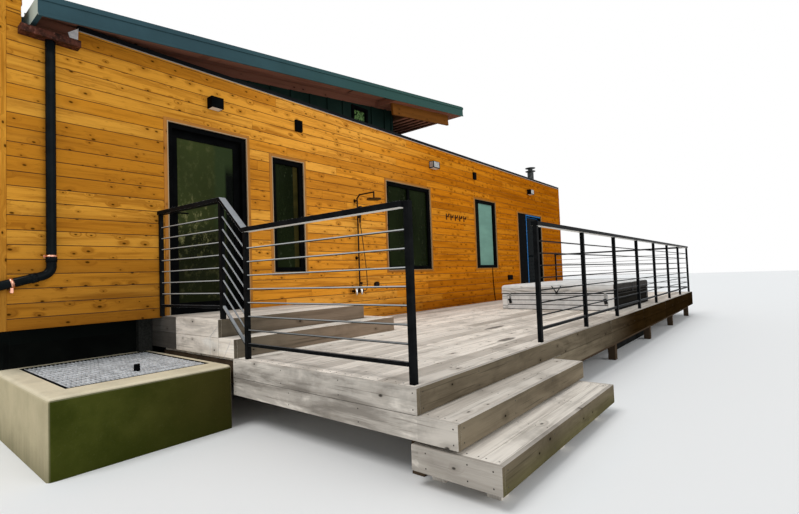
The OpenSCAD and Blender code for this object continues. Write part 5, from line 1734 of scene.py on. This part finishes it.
def mark_rods(mesh):
    """Marks a railing's long narrow faces, and how high each corner stands across its face."""
    mesh.attributes.new("slim", "FLOAT", "FACE")
    mesh.attributes.new("rise", "FLOAT", "CORNER")
    slim, rise = mesh.attributes["slim"], mesh.attributes["rise"]
    shortest, widest = 0.1, 0.016
    for face in mesh.polygons:
        corners = [mesh.vertices[i].co for i in face.vertices]
        run = max((b - a for a, b in zip(corners, corners[1:] + corners[:1])), key=lambda e: e.length)
        reach = max(max(c[i] for c in corners) - min(c[i] for c in corners) for i in (0, 1))
        slim.data[face.index].value = float(reach > shortest and face.area < widest * run.length)
        across = face.normal.cross(run).normalized()
        across = across if across.z > 0.0 else -across
        heights = [c.dot(across) for c in corners]
        span = max(max(heights) - min(heights), 1e-6)
        for i, height in zip(face.loop_indices, heights):
            rise.data[i].value = (height - min(heights)) / span


class CABIN_OT_railings(Operator):
    """Black steel railings with square posts and rods."""
    bl_idname = "cabin.railings"
    bl_label = "Railings"

    def execute(self, context):
        for place in ("landing", "stair", "deck_end", "front", "far_end"):
            guard = softened(place + "_railing", place + "_guard", "metal", "black_metal", 0.002)
            mark_rods(guard.data)
        return {"FINISHED"}


class CABIN_OT_hot_tub(Operator):
    """Hot tub: panelled cabinet, shell and folding padded cover with its straps."""
    bl_idname = "cabin.hot_tub"
    bl_label = "Hot tub"

    def execute(self, context):
        low, high = drawn("tub_cabinet")
        # The cabinet is dark, so the gaps between the panels show painted shade
        dress("tub_shade", "tub_cabinet")
        panels, joint, posts = Boards(), Boards(), Boards()
        rows, foot, rim, gap, proud, bed, corner = 3, 0.004, 0.034, 0.006, 0.008, 0.010, 0.090
        step = (high.z - rim - foot) / rows
        for k in range(rows):
            a, b = foot + k * step + gap, foot + (k + 1) * step - gap
            for y0, y1 in strips(low.y, high.y, proud, bed):
                panels.add((low.x + corner, y0, a), (high.x - corner, y1, b), X)
            for x0, x1 in strips(low.x, high.x, proud, bed):
                panels.add((x0, low.y + corner, a), (x1, high.y - corner, b), Y)
        panels.lay("tub_panels", "tub_panel", "tub_panel", 0.003, 101)
        # A dark band under the cover's edge, as a painted shadow
        lip, top = 0.003, high.z - 0.014
        joint.add((low.x - lip, low.y - lip, top), (high.x + lip, high.y + lip, high.z + lip), X)
        joint.lay("tub_joint", "tub_shade", "tub_panel", 0.001, 104)
        out, inner = 0.010, corner + 0.002
        for x0, x1 in strips(low.x, high.x, out, inner):
            for y0, y1 in strips(low.y, high.y, out, inner):
                posts.add((x0, y0, 0.003), (x1, y1, top - 0.002), Z)
        posts.add((low.x - proud, low.y - proud, high.z - rim), (high.x + proud, high.y + proud, top), X)
        posts.lay("tub_corner_posts", "vinyl", "tub_panel", 0.012, 102)
        self.cover(drawn("tub_cover"))
        return {"FINISHED"}

    def cover(self, corners):
        """Two padded halves that meet at a fold, each with a crowned top and soft corners."""
        low, high = corners
        middle = (low.x + high.x) / 2
        crown = sizes().cap_crown
        shape = bmesh.new()
        over, fold = 0.010, 0.004
        for x0, x1 in ((low.x - over, middle - fold), (middle + fold, high.x + over)):
            self.pad(shape, Vector((x0, low.y - over, low.z + 0.002)),
                     Vector((x1, high.y + over, high.z)), crown)
        mesh = mesh_of(shape, "tub_cover_pads")
        for polygon in mesh.polygons:
            polygon.use_smooth = True
        pads = own("tub_cover_pads", mesh, "vinyl", "tub_vinyl", replaces=("tub_cover",))
        straps, buckles, hem = Boards(), Boards(), Boards()
        skin = 0.0105
        sides = [(face, out, low[across], high[across], across)
                 for across in (1, 0) for face, out in ((low[1 - across], -1), (high[1 - across], 1))]
        for face, out, start, end, across in sides:
            def put(rows, at, z, width, height, near, far, lean=0.0):
                centre, half = [0, 0, z], [0, 0, height / 2]
                centre[across], half[across] = at, width / 2
                centre[1 - across], half[1 - across] = face + out * (near + far) / 2, (far - near) / 2
                turn = (-lean, 0, 0) if across else (0, lean, 0)
                corners = [[c + h * end for c, h in zip(centre, half)] for end in (-1, 1)]
                rows.add(*corners, Z, turn)

            middle = (start + end) / 2
            for at in (start + 0.120, end - 0.140):
                put(straps, at, 0.215, 0.036, 0.110, skin, 0.0135)
                put(buckles, at, 0.140, 0.048, 0.080, skin, 0.0200, 0.25)
            loop = middle - 0.045
            for side in (-1, 1):
                put(buckles, loop + side * 0.040, 0.328, 0.016, 0.125, skin, 0.0135, side * 0.6)
            put(buckles, loop, 0.268, 0.040, 0.030, skin, 0.0180)
            if across or out > 0:
                put(hem, middle, 0.276, end - start + 0.024, 0.012, 0.0085, 0.0125)
        straps.lay("tub_cover_straps", "vinyl_dark", "tub_vinyl", 0.001, 103)
        buckles.lay("tub_cover_buckles", "buckle", "black_metal", 0.001, 105)
        hem.lay("tub_cover_hem", "vinyl", "tub_vinyl", 0.0015, 106)

    def pad(self, shape, low, high, crown):
        """A closed cushion form on a grid, rounded at its edges and crowned on top."""
        spread = high - low
        round_off, ripple, sag = 0.035, 0.0022, 0.3
        ease = lambda t: math.sin(math.pi * min(max(t, 0.0), 1.0)) ** 0.6

        def edge_drop(d):
            if d >= round_off:
                return 0.0
            return round_off - math.sqrt(max(0.0, round_off ** 2 - (round_off - d) ** 2))

        def stations(close, count):
            """Places from 0 to 1: a few close to each end and even steps between."""
            first = close[-1]
            even = [first + (1 - 2 * first) * k / (count - 1) for k in range(1, count - 1)]
            return [*close, *even, *(1 - t for t in reversed(close))]

        top, bottom = [], []
        us, vs = stations([0, 0.004, 0.010, 0.020], 30), stations([0, 0.003, 0.008, 0.018], 44)
        for u in us:
            top.append([])
            bottom.append([])
            for v in vs:
                drop = max(edge_drop(min(u, 1 - u) * spread.x), edge_drop(min(v, 1 - v) * spread.y))
                x, y, full = low.x + spread.x * u, low.y + spread.y * v, ease(u) * ease(v)
                wave = ripple * math.sin(9.1 * x + 4.3 * y) * math.sin(5.7 * y - 3.1 * x) * full
                top[-1].append(shape.verts.new((x, y, high.z - crown - drop + crown * full + wave)))
                bottom[-1].append(shape.verts.new((x, y, low.z + sag * min(drop, 0.02))))
        n, m = len(us), len(vs)
        for i in range(n - 1):
            for j in range(m - 1):
                shape.faces.new((top[i][j], top[i + 1][j], top[i + 1][j + 1], top[i][j + 1]))
                shape.faces.new((bottom[i][j], bottom[i][j + 1], bottom[i + 1][j + 1], bottom[i + 1][j]))
        border = [(i, 0) for i in range(n)] + [(n - 1, j) for j in range(1, m)]
        border += [(i, m - 1) for i in range(n - 2, -1, -1)] + [(0, j) for j in range(m - 2, 0, -1)]
        for (a, b), (c, d) in zip(border, border[1:] + border[:1]):
            shape.faces.new((bottom[a][b], bottom[c][d], top[c][d], top[a][b]))


class CABIN_OT_light_well(Operator):
    """Concrete light well with its steel grate and a small vent cap."""
    bl_idname = "cabin.light_well"
    bl_label = "Light well"

    def execute(self, context):
        low, high = drawn("light_well")
        outside = lambda p, axis, side: abs(p[axis] - (low, high)[side][axis]) < 0.002

        def outer_edge(p, q):
            """An outer corner or an outer edge of the top, on the left, front or right face."""
            faces = [(0, 0), (1, 0), (0, 1)]
            on = [f for f in faces if outside(p, *f) and outside(q, *f)]
            return len(on) >= 2 or (len(on) == 1 and outside(p, 2, 1) and outside(q, 2, 1))

        softened("light_well", "well_walls", "well", "concrete", 0.034, 6, chosen=outer_edge)
        low, high = drawn("well_grate")
        # The grate's edges are black, as a painted shadow round the bars
        surround, bars = Boards(), Boards()
        edge, bar, rod, rod_step = 0.020, 0.0025, 0.004, 0.1
        for x0, x1 in strips(low.x, high.x, 0.0, edge):
            surround.add((x0, low.y, low.z), (x1, high.y, high.z), Y)
        for y0, y1 in strips(low.y, high.y, 0.0, edge):
            surround.add((low.x + edge, y0, low.z), (high.x - edge, y1, high.z), X)
        surround.lay("grate_surround", "frames", "grate_steel", 0.001, 112)
        count = int((high.x - low.x) / sizes().grate_step)
        for x in (low.x + k * (high.x - low.x) / count for k in range(1, count)):
            bars.add((x - bar, low.y + edge, low.z), (x + bar, high.y - edge, high.z - 0.001), Y)
        count = int((high.y - low.y) / rod_step)
        for y in (low.y + k * (high.y - low.y) / count for k in range(1, count)):
            bars.add((low.x + edge, y - rod, high.z - 0.010), (high.x - edge, y + rod, high.z), X)
        bars.lay("grate_bars", "grate", "grate_steel", 0.0008, 111, replaces=("well_grate",))
        stem = [(-0.557, -0.867, high.z + lift) for lift in (-0.002, 0.002, 0.049, 0.052)]
        vent = tube_mesh("grate_vent_cap", stem, [0.026, 0.0225, 0.0225, 0.020], sides=20)
        own("grate_vent_cap", vent, "frames", "black_metal")
        dress("base", "foundation_wall")
        dress("floorboards", "floor")
        return {"FINISHED"}


OPERATORS = (CABIN_OT_stage, CABIN_OT_hose, CABIN_OT_siding, CABIN_OT_trims, CABIN_OT_shed_roof,
             CABIN_OT_clerestory, CABIN_OT_flat_roof, CABIN_OT_rainwater, CABIN_OT_openings,
             CABIN_OT_fittings, CABIN_OT_deck, CABIN_OT_steps, CABIN_OT_railings, CABIN_OT_hot_tub,
             CABIN_OT_light_well)


class CABIN_PT_sidebar(Panel):
    """Lists the cabin's sizes, colours and pieces."""
    bl_idname = "CABIN_PT_sidebar"
    bl_label = "Container cabin"
    bl_space_type = "VIEW_3D"
    bl_region_type = "UI"
    bl_category = "Cabin"

    def draw(self, context):
        for group in (context.scene.cabin_sizes, context.scene.cabin_colours):
            column = self.layout.column()
            for key in group.__annotations__:
                column.prop(group, key)
        for operator in OPERATORS:
            self.layout.operator(operator.bl_idname)


CLASSES = (CabinSizes, CabinColours, *OPERATORS, CABIN_PT_sidebar)


def register():
    for item in CLASSES:
        bpy.utils.register_class(item)
    bpy.types.Scene.cabin_sizes = PointerProperty(type=CabinSizes)
    bpy.types.Scene.cabin_colours = PointerProperty(type=CabinColours)


def unregister():
    del bpy.types.Scene.cabin_colours
    del bpy.types.Scene.cabin_sizes
    for item in reversed(CLASSES):
        bpy.utils.unregister_class(item)


def main():
    register()
    for operator in OPERATORS:
        group, name = operator.bl_idname.split(".")
        getattr(getattr(bpy.ops, group), name)()
    numbers = lambda box: [[float(v) for v in corner] for corner in box]
    {"cad": numbers(CAD_BOX), "visual": numbers(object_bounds())}


if __name__ == "__main__":
    main()
